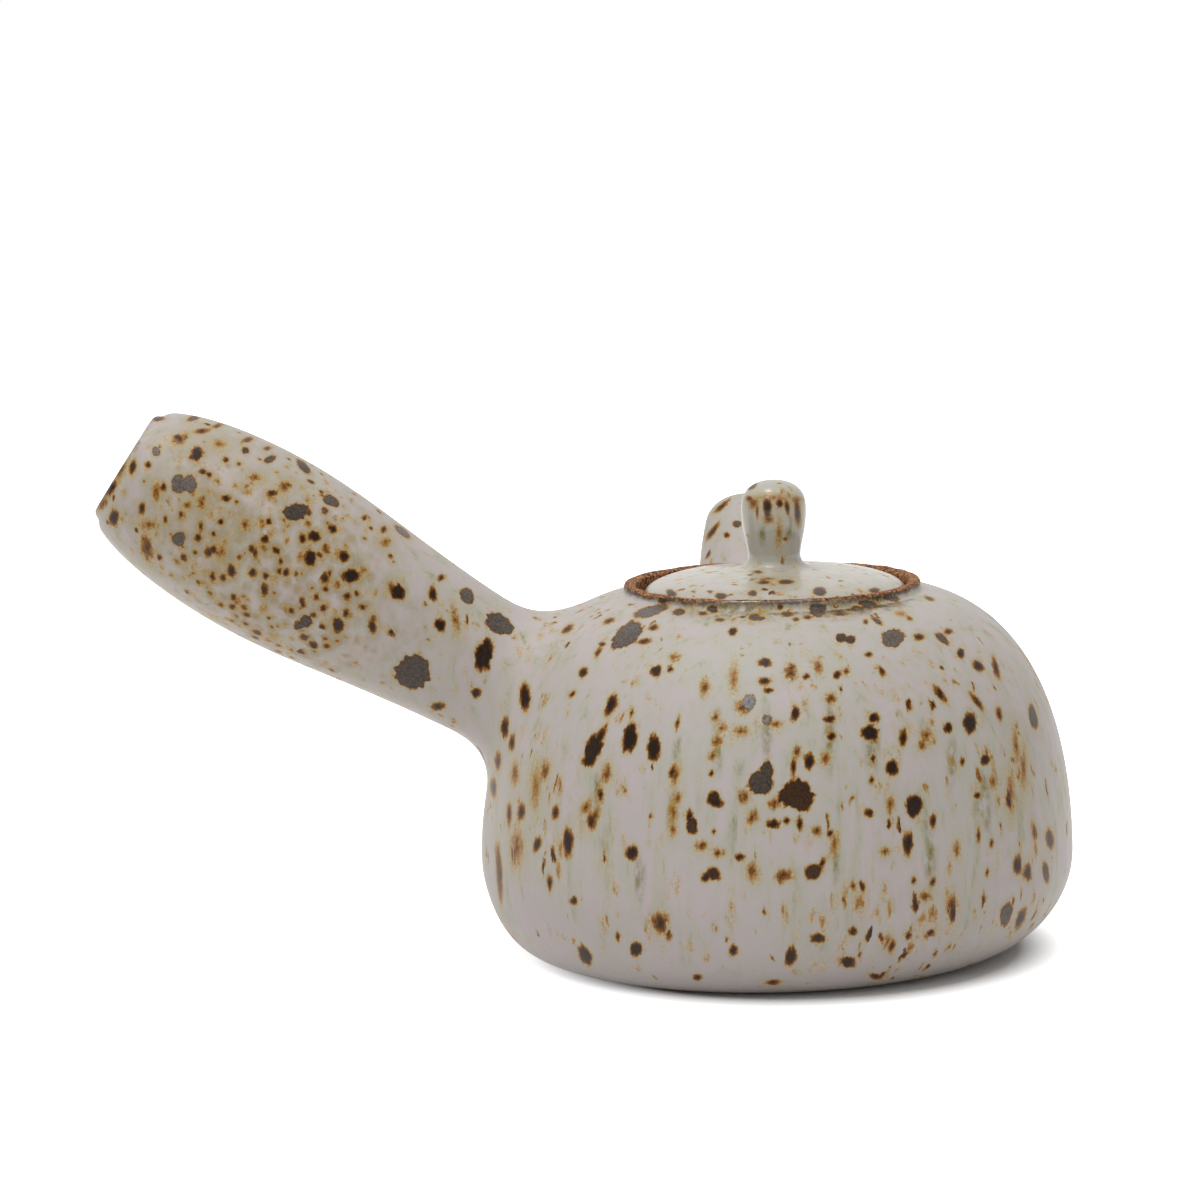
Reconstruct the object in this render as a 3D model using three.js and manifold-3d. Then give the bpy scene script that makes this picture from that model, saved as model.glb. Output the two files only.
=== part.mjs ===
// Side-handle teapot, thrown in stoneware: a squat body with a gallery for the lid, a hollow handle at its
// left, a short spout at its back with a pierced dome behind it, and a low domed lid with a knob.
// Millimetres and degrees. The origin is the centre of the flat base, +Z is up, the handle points to -X and
// the spout to +Y.

import * as THREE from 'three';
import { mergeVertices } from 'three/addons/utils/BufferGeometryUtils.js';
import Module from 'manifold-3d';

// Clay and clearances
const wallThickness = 3.8;
const floorThickness = 4.6;
const lutingGap = 0.3; // between pieces that are luted together, or that rest on each other
const lidPlay = 0.7; // between the lid's edge and the rim around it
const flangePlay = 0.9; // between the lid's flange and the mouth

// Body
const bellyDiameter = 105;
const bellyHeight = 16.3; // where the body is widest
const footDiameter = 74.4;
const footRoll = 11.5; // how far the flat base runs on outwards before the side turns up
const bellyTuck = 5; // how far below the widest place the side still stands upright
const bodyHeight = 64.7; // top of the rim
const sideRise = 21.3; // how far above the widest place the side still stands upright
const shoulderSlope = 11.3; // fall of the shoulder beside the collar
const shoulderRun = 19.8;
const collarHeight = 1.8;
const collarFlare = 1.3;

// Mouth and gallery
const rimWidth = 2;
const seatDepth = 4.2; // from the rim down to the ledge that carries the lid
const seatWidth = 3.5;
const seatThickness = 2.6;

// Lid
const lidDiameter = 46.6;
const lidEdge = 1.9; // height of the lid's upright edge
const lidRise = 4.6; // from the edge up to the middle of the dome
const lidCrown = 12; // how far out from the middle the dome stays flat
const lidBrow = 3.2; // how far above the edge the dome still stands upright
const lidThickness = 3.4;
const flangeDepth = 6.4;
const flangeThickness = 2.4;
const ventDiameter = 3.2;
const ventDistance = 13.5; // from the lid's axis, towards the spout

// Knob
const knobHeight = 15.5;
const knobDiameter = 11.5;
const knobStemDiameter = 9.2;
const knobStemHeight = 2; // from the dome up to the narrowest place
const knobCrown = 5; // height of the knob's round top
const knobFootSpread = 2.2;
const knobFootRise = 1.6;

// Handle
const handleLength = 78.5; // along its axis, from the body's side to its open end
const handleTilt = 31.25;
const handleDrop = 17.05; // from the rim's height down to where the axis meets the body
const handleEndDiameter = 21.2;
const handleSwellDiameter = 32.9;
const handleSwellDistance = 28.6; // from the open end to the thickest place
const handleWaistDiameter = 24.8;
const handleWall = 3;
const handleFootSpread = 4.5;
const handleFootRise = 8;

// Spout
const spoutLength = 27.8;
const spoutTilt = 48;
const spoutTurn = 2.2; // towards the handle
const spoutDrop = 16.7;
const spoutTipDiameter = 14.4;
const spoutRootDiameter = 21;
const spoutBulge = 2.3; // how far the spout stands out beyond its tip's radius, a third of the way down
const spoutWall = 2.4;
const spoutFootSpread = 4;
const spoutFootRise = 5;
const portDiameter = 13;

// Strainer
const strainerRadius = 12;
const strainerThickness = 2;
const strainerHoleDiameter = 1.6;
const strainerRings = 3;
const strainerRingAngle = 18;
const strainerCoilWidth = 2.2;

// Fineness of the facets
const bodySides = 52;
const lidSides = 48;
const handleSides = 32;
const spoutSides = 28;
const knobSides = 24;
const domeSides = 24;
const holeSides = 6;
const curveSteps = 8;

const filletEdge = 0.6; // thickness of a luting fillet where it ends on a tube
const trimLength = 12; // how far a tube runs into the body's outline, which then trims it

const bellyRadius = bellyDiameter / 2;
const footRadius = footDiameter / 2;
const lidRadius = lidDiameter / 2;
const rimInnerRadius = lidRadius + lidPlay;
const rimOuterRadius = rimInnerRadius + rimWidth;
const rimRound = rimWidth / 2;
const mouthRadius = rimInnerRadius - seatWidth;
const seatHeight = bodyHeight - seatDepth;
const neckRadius = rimOuterRadius + collarFlare;
const neckHeight = bodyHeight - collarHeight;
const flangeRadius = mouthRadius - flangePlay;
const lidBottom = seatHeight + lutingGap;
const lidTop = lidEdge + lidRise; // above the underside of the lid's edge

const wasm = await Module();
wasm.setup();

const up = new THREE.Vector3(0, 1, 0);
const radians = THREE.MathUtils.degToRad;
const point = (radius, height) => new THREE.Vector2(radius, height);

function toSolid(geometry) {
  const bare = geometry.clone();
  bare.deleteAttribute('normal');
  bare.deleteAttribute('uv');
  const merged = mergeVertices(bare);
  const corners = merged.index.array;
  const triangles = [];
  for (let i = 0; i < corners.length; i += 3) {
    const [a, b, c] = corners.slice(i, i + 3);
    if (a !== b && b !== c && c !== a) triangles.push(a, b, c);
  }
  return new wasm.Manifold(new wasm.Mesh({
    numProp: 3,
    vertProperties: new Float32Array(merged.attributes.position.array),
    triVerts: new Uint32Array(triangles),
  }));
}

function toGeometry(solid) {
  const { vertProperties, triVerts } = solid.getMesh();
  const geometry = new THREE.BufferGeometry();
  geometry.setAttribute('position', new THREE.BufferAttribute(vertProperties, 3));
  geometry.setIndex(new THREE.BufferAttribute(triVerts, 1));
  const faceted = geometry.toNonIndexed();
  faceted.computeVertexNormals();
  return faceted;
}

function cut(geometry, ...tools) {
  return toGeometry(tools.reduce((solid, tool) => solid.subtract(toSolid(tool)), toSolid(geometry)));
}

function keepInside(geometry, room) {
  return toGeometry(toSolid(geometry).intersect(toSolid(room)));
}

// Turns an outline of radius and height about the upright axis.
function turned(outline, sides) {
  return new THREE.LatheGeometry(outline, sides).rotateX(Math.PI / 2);
}

// Moves each point of an outline to its right by a distance, square to the line through its neighbours.
function offsetOutline(outline, distance) {
  return outline.map((here, i) => {
    const before = outline[Math.max(i - 1, 0)];
    const after = outline[Math.min(i + 1, outline.length - 1)];
    const along = after.clone().sub(before).normalize();
    return point(here.x + along.y * distance, here.y - along.x * distance);
  });
}

function material(name, color, roughness) {
  return new THREE.MeshStandardMaterial({ name, color, roughness, metalness: 0 });
}

function piece(name, geometry, finish) {
  const mesh = new THREE.Mesh(geometry, finish);
  mesh.name = name;
  return mesh;
}

// The outer side of the body, from the edge of the base up to the collar.
function bodySide() {
  const side = new THREE.Path();
  const slope = radians(shoulderSlope);
  side.moveTo(footRadius, 0);
  side.bezierCurveTo(
    footRadius + footRoll, 0, bellyRadius, bellyHeight - bellyTuck, bellyRadius, bellyHeight,
  );
  side.bezierCurveTo(
    bellyRadius, bellyHeight + sideRise,
    neckRadius + shoulderRun * Math.cos(slope), neckHeight - shoulderRun * Math.sin(slope),
    neckRadius, neckHeight,
  );
  return side.getPoints(curveSteps);
}

const sideOutline = bodySide();

// The inside of the body, from the foot of the ledge down to the floor.
function cavitySide(shrink) {
  const floor = floorThickness + shrink;
  const inside = offsetOutline(sideOutline, -wallThickness - shrink).filter((place) => place.x > mouthRadius);
  const corner = Math.max(inside.findIndex((place) => place.y > floor) - 1, 0);
  return [...inside.slice(corner + 1).reverse(), point(inside[corner].x, floor), point(0, floor)];
}

function bodyGeometry() {
  const rim = new THREE.Path();
  rim.moveTo(neckRadius, neckHeight);
  rim.quadraticCurveTo(rimOuterRadius, neckHeight, rimOuterRadius, bodyHeight - rimRound);
  rim.absarc(rimInnerRadius + rimRound, bodyHeight - rimRound, rimRound, 0, Math.PI);
  rim.lineTo(rimInnerRadius, seatHeight);
  rim.lineTo(mouthRadius, seatHeight);
  rim.lineTo(mouthRadius, seatHeight - seatThickness);
  return turned(
    [point(0, 0), ...sideOutline, ...rim.getPoints(3).slice(1), ...cavitySide(0)], bodySides,
  );
}

// The body's outer shape without its cavity, grown by the luting gap, which trims what is luted to it.
function bodyTrimmer() {
  const grown = offsetOutline(sideOutline, lutingGap);
  const collarRadius = rimOuterRadius + lutingGap;
  const outline = [
    point(0, -lutingGap), point(grown[0].x, -lutingGap), ...grown,
    point(collarRadius, bodyHeight), point(0, bodyHeight),
  ];
  return turned(outline, bodySides);
}

// The room inside the body, drawn in from its wall and floor.
function cavityRoom(shrink) {
  const inside = cavitySide(shrink).reverse();
  return turned([...inside, point(0, inside.at(-1).y)], bodySides);
}

// Where a tube's axis meets the body's side: the radius there and the slope of the side.
function sideAt(height) {
  const above = sideOutline.findIndex((place) => place.y >= height);
  const low = sideOutline[above - 1];
  const high = sideOutline[above];
  const share = (height - low.y) / (high.y - low.y);
  return {
    radius: THREE.MathUtils.lerp(low.x, high.x, share),
    lean: Math.atan2(low.x - high.x, high.y - low.y),
  };
}

// A frame on the body's side whose +Z is a tube's axis, pointing away from the body.
function tubeFrame(drop, tilt, heading) {
  const height = bodyHeight - drop;
  const { radius, lean } = sideAt(height);
  const frame = new THREE.Group();
  frame.rotation.order = 'ZYX';
  frame.rotation.set(0, Math.PI / 2 - radians(tilt), radians(heading));
  frame.position.set(radius * Math.cos(radians(heading)), radius * Math.sin(radians(heading)), height);
  frame.updateMatrixWorld();
  const outwards = new THREE.Vector3(Math.cos(lean), 0, Math.sin(lean));
  outwards.applyAxisAngle(new THREE.Vector3(0, 0, 1), radians(heading));
  return { frame, outwards };
}

function movedInto(frame, geometry) {
  return geometry.clone().applyMatrix4(frame.matrixWorld.clone().invert());
}

function tubeGeometry(side, wall, sides) {
  const end = side.at(-1);
  const lip = new THREE.Path();
  lip.absarc(end.x - wall / 2, end.y, wall / 2, 0, Math.PI);
  const bore = side.slice(0, -1).reverse().map((place) => point(place.x - wall, place.y));
  return turned([...side, ...lip.getPoints(2).slice(1), ...bore, side[0]], sides);
}

// A plain plug of a tube's outer shape, grown by the luting gap.
function tubeTrimmer(side, sides) {
  const grown = side.map((place) => point(place.x + lutingGap, place.y));
  return turned([point(0, grown[0].y), ...grown, point(0, grown.at(-1).y)], sides);
}

// A hollowed fillet of clay round the foot of a tube or knob, before its neighbours trim it.
function filletGeometry(radius, spread, rise, depth, sides) {
  const edge = radius + lutingGap + filletEdge;
  const outline = new THREE.Path();
  outline.moveTo(0, -depth);
  outline.lineTo(edge + spread, -depth);
  outline.bezierCurveTo(edge + spread, -depth / 4, edge, 0, edge, rise);
  outline.lineTo(0, rise);
  return turned(outline.getPoints(curveSteps), sides);
}

// Radius at a height on a tube's side.
function tubeRadiusAt(side, height) {
  const above = Math.max(side.findIndex((place) => place.y >= height), 1);
  const low = side[above - 1];
  const high = side[above];
  return THREE.MathUtils.lerp(low.x, high.x, (height - low.y) / (high.y - low.y));
}

function handleSide() {
  const waist = handleWaistDiameter / 2;
  const swell = handleSwellDiameter / 2;
  const end = handleEndDiameter / 2;
  const lipHeight = handleLength - handleWall / 2;
  const swellHeight = handleLength - handleSwellDistance;
  const side = new THREE.Path();
  side.moveTo(waist, -trimLength);
  side.lineTo(waist, 0);
  side.bezierCurveTo(waist, swellHeight * 0.4, swell, swellHeight * 0.7, swell, swellHeight);
  side.bezierCurveTo(
    swell, handleLength - handleSwellDistance * 0.63,
    (swell + end) * 0.55, handleLength - handleSwellDistance * 0.22,
    end, lipHeight,
  );
  return side.getPoints(curveSteps);
}

function spoutSide() {
  const root = spoutRootDiameter / 2;
  const tip = spoutTipDiameter / 2;
  const side = new THREE.Path();
  side.moveTo(root, -trimLength);
  side.lineTo(root, 0);
  side.bezierCurveTo(
    root, spoutLength * 0.35, tip + spoutBulge, spoutLength * 0.7, tip, spoutLength - spoutWall / 2,
  );
  return side.getPoints(curveSteps);
}

function portGeometry() {
  const reach = trimLength * 2;
  return new THREE.CylinderGeometry(portDiameter / 2, portDiameter / 2, reach, spoutSides)
    .rotateX(Math.PI / 2);
}

const unglazed = material('iron_clay', 0x8a5a3c, 0.85);
const glaze = material('speckled_glaze', 0xc9bdb4, 0.42);
const lidGlaze = material('lid_glaze', 0xc6c2b2, 0.4);
const knobGlaze = material('knob_glaze', 0xb4b3a4, 0.3);
const rootGlaze = material('root_glaze', 0xc2b4ac, 0.45);

const pot = new THREE.Group();
const spoutPlace = tubeFrame(spoutDrop, spoutTilt, 90 + spoutTurn);
const handlePlace = tubeFrame(handleDrop, handleTilt, 180);

function addBody() {
  const port = portGeometry().applyMatrix4(spoutPlace.frame.matrixWorld);
  pot.add(piece('body', cut(bodyGeometry(), port), glaze));
}

// A tube and the fillet round its foot, both trimmed to the body's side.
function addTube(names, place, side, sizes) {
  const trimmer = movedInto(place.frame, bodyTrimmer());
  const tube = cut(tubeGeometry(side, sizes.wall, sizes.sides), trimmer);
  const footRadiusHere = tubeRadiusAt(side, sizes.footRise);
  const foot = filletGeometry(footRadiusHere, sizes.footSpread, sizes.footRise, trimLength, sizes.sides);
  place.frame.add(piece(names.tube, tube, glaze));
  place.frame.add(piece(names.joint, cut(foot, tubeTrimmer(side, sizes.sides), trimmer), rootGlaze));
  pot.add(place.frame);
}

function strainerHoles() {
  const holeRadius = strainerHoleDiameter / 2;
  const holes = [];
  for (let ring = 0; ring <= strainerRings; ring += 1) {
    const count = Math.max(ring * 6, 1);
    for (let i = 0; i < count; i += 1) {
      const hole = new THREE.CylinderGeometry(holeRadius, holeRadius, strainerRadius, holeSides);
      hole.translate(0, strainerRadius, 0);
      hole.rotateZ(radians(ring * strainerRingAngle));
      hole.rotateY((i / count + (ring % 2) / (2 * count)) * Math.PI * 2);
      holes.push(hole);
    }
  }
  return holes;
}

function domeGeometry(growth) {
  return new THREE.SphereGeometry(strainerRadius + growth, domeSides, domeSides / 2);
}

// The pierced dome over the port and the coil of clay that holds it, both trimmed to the cavity.
function addStrainer() {
  const { frame, outwards } = spoutPlace;
  const axis = new THREE.Vector3(0, 0, 1).transformDirection(frame.matrixWorld);
  const centre = frame.position.clone().addScaledVector(axis, -wallThickness / axis.dot(outwards));
  const place = new THREE.Group();
  place.position.copy(centre);
  place.quaternion.setFromUnitVectors(up, outwards.clone().negate());
  place.updateMatrixWorld();
  const room = movedInto(place, cavityRoom(lutingGap));
  const openRoom = movedInto(place, cavityRoom(lutingGap + strainerCoilWidth));
  const dome = cut(keepInside(domeGeometry(0), room), domeGeometry(-strainerThickness), ...strainerHoles());
  const coil = domeGeometry(lutingGap + strainerCoilWidth);
  place.add(piece('strainer', dome, unglazed));
  place.add(piece('strainer_joint', cut(keepInside(coil, room), domeGeometry(lutingGap), openRoom), unglazed));
  pot.add(place);
}

function lidTopOutline() {
  const top = new THREE.Path();
  top.moveTo(lidRadius, lidEdge);
  top.bezierCurveTo(lidRadius, lidEdge + lidBrow, lidCrown, lidTop, 0, lidTop);
  return top.getPoints(curveSteps);
}

// In its own frame the lid's underside is at zero height.
function lidGeometry() {
  const inner = flangeRadius - flangeThickness;
  const ceiling = lidTop - lidThickness;
  const outline = [
    point(0, ceiling), point(lidCrown, ceiling), point(inner, 0), point(inner, -flangeDepth),
    point(flangeRadius, -flangeDepth), point(flangeRadius, 0), point(lidRadius, 0), ...lidTopOutline(),
  ];
  const vent = new THREE.CylinderGeometry(ventDiameter / 2, ventDiameter / 2, lidTop * 3, 12);
  vent.rotateX(Math.PI / 2);
  vent.translate(0, ventDistance, 0);
  return cut(turned(outline, lidSides), vent);
}

function knobOutline() {
  const stem = knobStemDiameter / 2;
  const head = knobDiameter / 2;
  const outline = new THREE.Path();
  outline.moveTo(0, 0);
  outline.lineTo(stem, 0);
  outline.lineTo(stem, knobStemHeight);
  outline.bezierCurveTo(
    stem, knobStemHeight + 1, head, (knobStemHeight + knobHeight - knobCrown) / 2, head, knobHeight - knobCrown,
  );
  outline.bezierCurveTo(
    head, knobHeight - knobCrown / 3, head * 0.6, knobHeight, 0, knobHeight,
  );
  return outline.getPoints(curveSteps);
}

function addLid() {
  const lid = new THREE.Group();
  lid.position.z = lidBottom;
  const knobPlace = new THREE.Group();
  knobPlace.position.z = lidTop + lutingGap;
  const foot = filletGeometry(knobStemDiameter / 2, knobFootSpread, knobFootRise, knobFootRise, knobSides);
  const stem = [
    point(0, -knobFootRise * 2), point(knobStemDiameter / 2 + lutingGap, -knobFootRise * 2),
    point(knobStemDiameter / 2 + lutingGap, knobFootRise * 2), point(0, knobFootRise * 2),
  ];
  const grownTop = [...offsetOutline(lidTopOutline(), lutingGap).slice(0, -1), point(0, lidTop + lutingGap)];
  const grownLid = turned([point(0, 0), point(grownTop[0].x, 0), ...grownTop], lidSides);
  grownLid.translate(0, 0, -knobPlace.position.z);
  knobPlace.add(piece('knob', turned(knobOutline(), knobSides), knobGlaze));
  knobPlace.add(piece('knob_joint', cut(foot, turned(stem, knobSides), grownLid), knobGlaze));
  lid.add(piece('lid', lidGeometry(), lidGlaze), knobPlace);
  pot.add(lid);
}

addBody();
addTube(
  { tube: 'handle', joint: 'handle_joint' }, handlePlace, handleSide(),
  { wall: handleWall, sides: handleSides, footSpread: handleFootSpread, footRise: handleFootRise },
);
addTube(
  { tube: 'spout', joint: 'spout_joint' }, spoutPlace, spoutSide(),
  { wall: spoutWall, sides: spoutSides, footSpread: spoutFootSpread, footRise: spoutFootRise },
);
addStrainer();
addLid();

export default pot;
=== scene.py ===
import bpy, bmesh, math
import numpy as np
from functools import partial
from mathutils import Matrix, Vector, noise
from mathutils.bvhtree import BVHTree


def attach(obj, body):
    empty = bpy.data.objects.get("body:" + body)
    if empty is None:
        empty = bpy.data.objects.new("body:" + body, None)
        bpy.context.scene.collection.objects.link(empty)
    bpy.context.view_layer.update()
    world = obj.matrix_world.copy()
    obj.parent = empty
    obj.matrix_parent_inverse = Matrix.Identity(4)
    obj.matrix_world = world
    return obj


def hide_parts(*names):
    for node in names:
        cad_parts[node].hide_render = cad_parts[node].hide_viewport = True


# Side-handle teapot of thrown stoneware under a speckled satin glaze.
# Forms are worked out in millimetres and made in metres, in the frame's own axes:
# the pot stands on z = 0, its handle points to -X and its spout to +Y.

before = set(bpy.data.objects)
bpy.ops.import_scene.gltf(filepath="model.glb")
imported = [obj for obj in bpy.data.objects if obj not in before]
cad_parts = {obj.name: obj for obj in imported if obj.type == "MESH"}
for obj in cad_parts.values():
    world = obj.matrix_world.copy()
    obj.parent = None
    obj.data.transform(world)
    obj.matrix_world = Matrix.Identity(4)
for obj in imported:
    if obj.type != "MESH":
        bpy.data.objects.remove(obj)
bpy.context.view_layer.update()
mm = 0.001
farOff = 9.0  # stands for a distance in mm that is too great to matter


# Outlines and rings

def bezierPoints(start, pullOut, pullIn, end, count):
    t = np.linspace(0, 1, count)[:, None]
    start, pullOut, pullIn, end = (np.array(p, float) for p in (start, pullOut, pullIn, end))
    s = 1 - t
    return s ** 3 * start + 3 * t * s ** 2 * pullOut + 3 * t ** 2 * s * pullIn + t ** 3 * end


def arcPoints(centre, radius, fromDegrees, toDegrees, count):
    a = np.radians(np.linspace(fromDegrees, toDegrees, count))
    return np.stack([centre[0] + radius * np.cos(a), centre[1] + radius * np.sin(a)], 1)


def evenPoints(points, spacing):
    # the same outline with its points a set distance apart
    steps = np.linalg.norm(np.diff(points, axis=0), axis=1)
    run = np.concatenate([[0], np.cumsum(steps)])
    count = max(int(round(run[-1] / spacing)), 1) + 1
    at = np.linspace(0, run[-1], count)
    return np.stack([np.interp(at, run, points[:, k]) for k in range(2)], 1)


def offsetOutline(points, distance):
    # moves an outline to its right, square to itself
    along = np.gradient(points, axis=0)
    along /= np.linalg.norm(along, axis=1)[:, None]
    return points + distance * np.stack([along[:, 1], -along[:, 0]], 1)


def turnedRow(radius, height, sides):
    a = np.radians(np.arange(sides) * 360 / sides)
    return np.stack([radius * np.cos(a), radius * np.sin(a), np.full(sides, float(height))], 1)


def meshPiece(name, skin, body, nodes, subdivisions=1):
    data = bpy.data.meshes.new(name)
    data.from_pydata([tuple(v * mm) for v in skin.vertices], [], skin.faces)
    made = bmesh.new()
    made.from_mesh(data)
    bmesh.ops.recalc_face_normals(made, faces=made.faces)
    made.to_mesh(data)
    made.free()
    data.polygons.foreach_set("use_smooth", [True] * len(data.polygons))
    data.attributes.new("bare", "FLOAT", "POINT").data.foreach_set("value", skin.bare)
    piece = bpy.data.objects.new(name, data)
    bpy.context.scene.collection.objects.link(piece)
    smooth = piece.modifiers.new("smooth", "SUBSURF")
    smooth.levels = smooth.render_levels = subdivisions
    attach(piece, body)
    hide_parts(*nodes)
    return piece


def settle(piece):
    # turns a piece's modifiers into plain mesh
    data = bpy.data.meshes.new_from_object(piece.evaluated_get(bpy.context.evaluated_depsgraph_get()))
    piece.modifiers.clear()
    piece.data = data
    print(piece.name, len(data.polygons), "faces")


def lumpy(points, height, wave):
    # the small unevenness of wiped clay, in mm
    return points + height * np.array([noise.noise_vector(Vector(p) / wave) for p in points])


# Pot: one skin of clay that runs over the side, the rim, the gallery and the inside

potForm = dict(
    bellyRadius=52.5, bellyHeight=16.3, bellyTuck=5.0, footRadius=37.2, footRoll=11.5,
    rimHeight=64.7, rimInner=24.0, rimOuter=26.0, sideRise=21.3, shoulderSlope=11.3, shoulderRun=19.8,
    collarHeight=1.8, collarFlare=1.3, seatDepth=4.2, seatWidth=3.5, seatThickness=2.6,
    wall=3.8, floor=4.6, columns=112, rowSpacing=2.4, shoulderFrom=40.0,
    levelRows=8.0,  # rows below this height stay level, and only follow the foot's bulge
    lipEdge=0.55, lumps=0.22, lumpSize=2.6,
    # the glaze breaks dark below the wiped rim: how far under it starts, how it fades over a reach down
    # the side, and how much deeper it goes at a heading; at another heading it melted to a glassy roll
    breakStart=2.6, breakFade=0.38, breakReach=7.0, breakDepth=1.7, breakHeading=-58.0,
    glassyHeading=-97.0, bareInside=4.0,
    # the mouth and lid stand this much higher in the middle, and twice that in front; it fades out
    # by this radius and down to this height, over this distance
    mouthTip=0.32, tipRadius=46.0, tipHeight=44.0, tipFade=16.0,
    lobe=2.4, lobeHeading=215.0, lobeHeight=14.0,  # the foot bulges to one side, as it was set down
)
handleForm = dict(
    length=78.5, tilt=31.25, endTilt=33.5, heading=180.0, drop=17.05, wall=3.0,
    endRadius=10.6, swellRadius=16.45, swellDistance=28.6, waistRadius=12.4,
    blendTop=9.0, blendBelow=6.5, patchRows=(30.0, 34.0), patchColumns=8, flare=20.0, flareRings=10,
    boreEnd=1.2, wiped=-1.5,  # the bore stops this far from the side, and the lip is this bare
    dent=0.9, dentSize=5.0, dentDepth=19.0,  # pressed into the side just below the root
)
spoutForm = dict(
    length=27.8, tilt=48.0, heading=92.2, drop=16.7, wall=2.4,
    tipRadius=7.2, rootRadius=10.5, bulge=2.3, blend=6.0, portRadius=6.5, patchHalf=6, flare=10.0,
    flareRings=6,
)


def potSide():
    f = potForm
    slope = math.radians(f["shoulderSlope"])
    neck = np.array([f["rimOuter"] + f["collarFlare"], f["rimHeight"] - f["collarHeight"]])
    shoulder = neck + f["shoulderRun"] * np.array([math.cos(slope), -math.sin(slope)])
    lower = bezierPoints(
        (f["footRadius"], 0), (f["footRadius"] + f["footRoll"], 0),
        (f["bellyRadius"], f["bellyHeight"] - f["bellyTuck"]), (f["bellyRadius"], f["bellyHeight"]), 40)
    upper = bezierPoints(
        (f["bellyRadius"], f["bellyHeight"]),
        (f["bellyRadius"], f["bellyHeight"] + f["sideRise"]),
        shoulder, neck, 60)
    return np.concatenate([lower, upper[1:]])


fineSide = potSide()


def footLobe(p):
    # how far the foot bulges at each point
    f = potForm
    low = np.clip(1 - p[:, 2] / f["lobeHeight"], 0, 1) ** 2
    radius = np.hypot(p[:, 0], p[:, 1])
    heading = np.arctan2(p[:, 1], p[:, 0]) - math.radians(f["lobeHeading"])
    return f["lobe"] * low * np.cos(heading) * np.clip(radius / f["footRadius"], 0, 1)


def sideDistance(p):
    # distance out from the pot's side, for points as rows of x, y, z
    q = np.stack([np.hypot(p[:, 0], p[:, 1]) - footLobe(p), p[:, 2]], 1)
    a, b = fineSide[:-1], fineSide[1:]
    along = b - a
    t = np.clip(((q[:, None] - a) * along).sum(2) / (along ** 2).sum(1), 0, 1)
    away = q[:, None] - (a + t[:, :, None] * along)
    length = np.linalg.norm(away, axis=2)
    near = length.argmin(1)
    rows = np.arange(len(q))
    outwards = np.stack([along[near, 1], -along[near, 0]], 1)
    return length[rows, near] * np.sign((away[rows, near] * outwards).sum(1))


def tubeFrame(form):
    # root of a tube's axis on the side, its axis, and two directions square to it, the first upwards
    height = potForm["rimHeight"] - form["drop"]
    above = int(np.argmax(fineSide[:, 1] >= height))
    radius = np.interp(height, fineSide[above - 1:above + 1, 1], fineSide[above - 1:above + 1, 0])
    turn, tilt = math.radians(form["heading"]), math.radians(form["tilt"])
    level = np.array([math.cos(turn), math.sin(turn), 0])
    upright = np.array([0, 0, 1.0])
    axis = level * math.cos(tilt) + upright * math.sin(tilt)
    top = upright * math.cos(tilt) - level * math.sin(tilt)
    return level * radius + upright * height, axis, top, np.cross(axis, top)


def handleOutline():
    f = handleForm
    swellAt = f["length"] - f["swellDistance"]
    lower = bezierPoints(
        (f["waistRadius"], 0), (f["waistRadius"], swellAt * 0.4),
        (f["swellRadius"], swellAt * 0.7), (f["swellRadius"], swellAt), 40)
    upper = bezierPoints(
        (f["swellRadius"], swellAt), (f["swellRadius"], f["length"] - f["swellDistance"] * 0.63),
        ((f["swellRadius"] + f["endRadius"]) * 0.555, f["length"] - f["swellDistance"] * 0.21),
        (f["endRadius"], f["length"]), 40)
    return np.concatenate([lower, upper[1:]])


def spoutOutline():
    f = spoutForm
    return bezierPoints(
        (f["rootRadius"], 0), (f["rootRadius"] - 0.3, f["length"] * 0.35),
        (f["tipRadius"] + f["bulge"], f["length"] * 0.7), (f["tipRadius"], f["length"]), 40)


def tubeDistance(p, place, outline):
    root, axis = place[:2]
    away = p - root
    along = away @ axis
    across = np.linalg.norm(away - along[:, None] * axis, axis=1)
    stub = -14.0  # the tube ends this far inside the side
    return np.maximum(across - np.interp(along, outline[:, 1], outline[:, 0]), stub - along)


def smoothUnion(a, b, blend):
    overlap = np.maximum(blend - np.abs(a - b), 0)
    return np.minimum(a, b) - overlap ** 2 / (4 * blend)


handlePlace, spoutPlace = tubeFrame(handleForm), tubeFrame(spoutForm)
handleLine, spoutLine = handleOutline(), spoutOutline()


def skinDistance(p):
    # the outer skin: side, handle and spout with clay smoothed over their roots
    root, axis, top = handlePlace[:3]
    away = p - root
    away -= (away @ axis)[:, None] * axis
    upness = 0.5 + 0.5 * (away @ top) / np.maximum(np.linalg.norm(away, axis=1), 1e-6)
    blend = handleForm["blendBelow"] + (handleForm["blendTop"] - handleForm["blendBelow"]) * upness
    skin = smoothUnion(sideDistance(p), tubeDistance(p, handlePlace, handleLine), blend)
    skin = smoothUnion(skin, tubeDistance(p, spoutPlace, spoutLine), spoutForm["blend"])
    dentMiddle = root - top * handleForm["dentDepth"]
    pressed = np.linalg.norm(p - dentMiddle, axis=1) / handleForm["dentSize"]
    return skin + handleForm["dent"] * np.exp(-pressed ** 2 / 2)


def cavityDistance(p):
    return sideDistance(p) + potForm["wall"]


def laidOnto(surface, p, rounds=5):
    # moves points along the slope of a distance until they lie on its surface
    step, leastSlope = 0.05, 0.2
    for _ in range(rounds):
        here = surface(p)
        slope = np.stack([surface(p + step * e) - surface(p - step * e) for e in np.eye(3)], 1)
        slope /= 2 * step
        p = p - slope * (here / np.maximum((slope ** 2).sum(1), leastSlope))[:, None]
    return p


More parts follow.
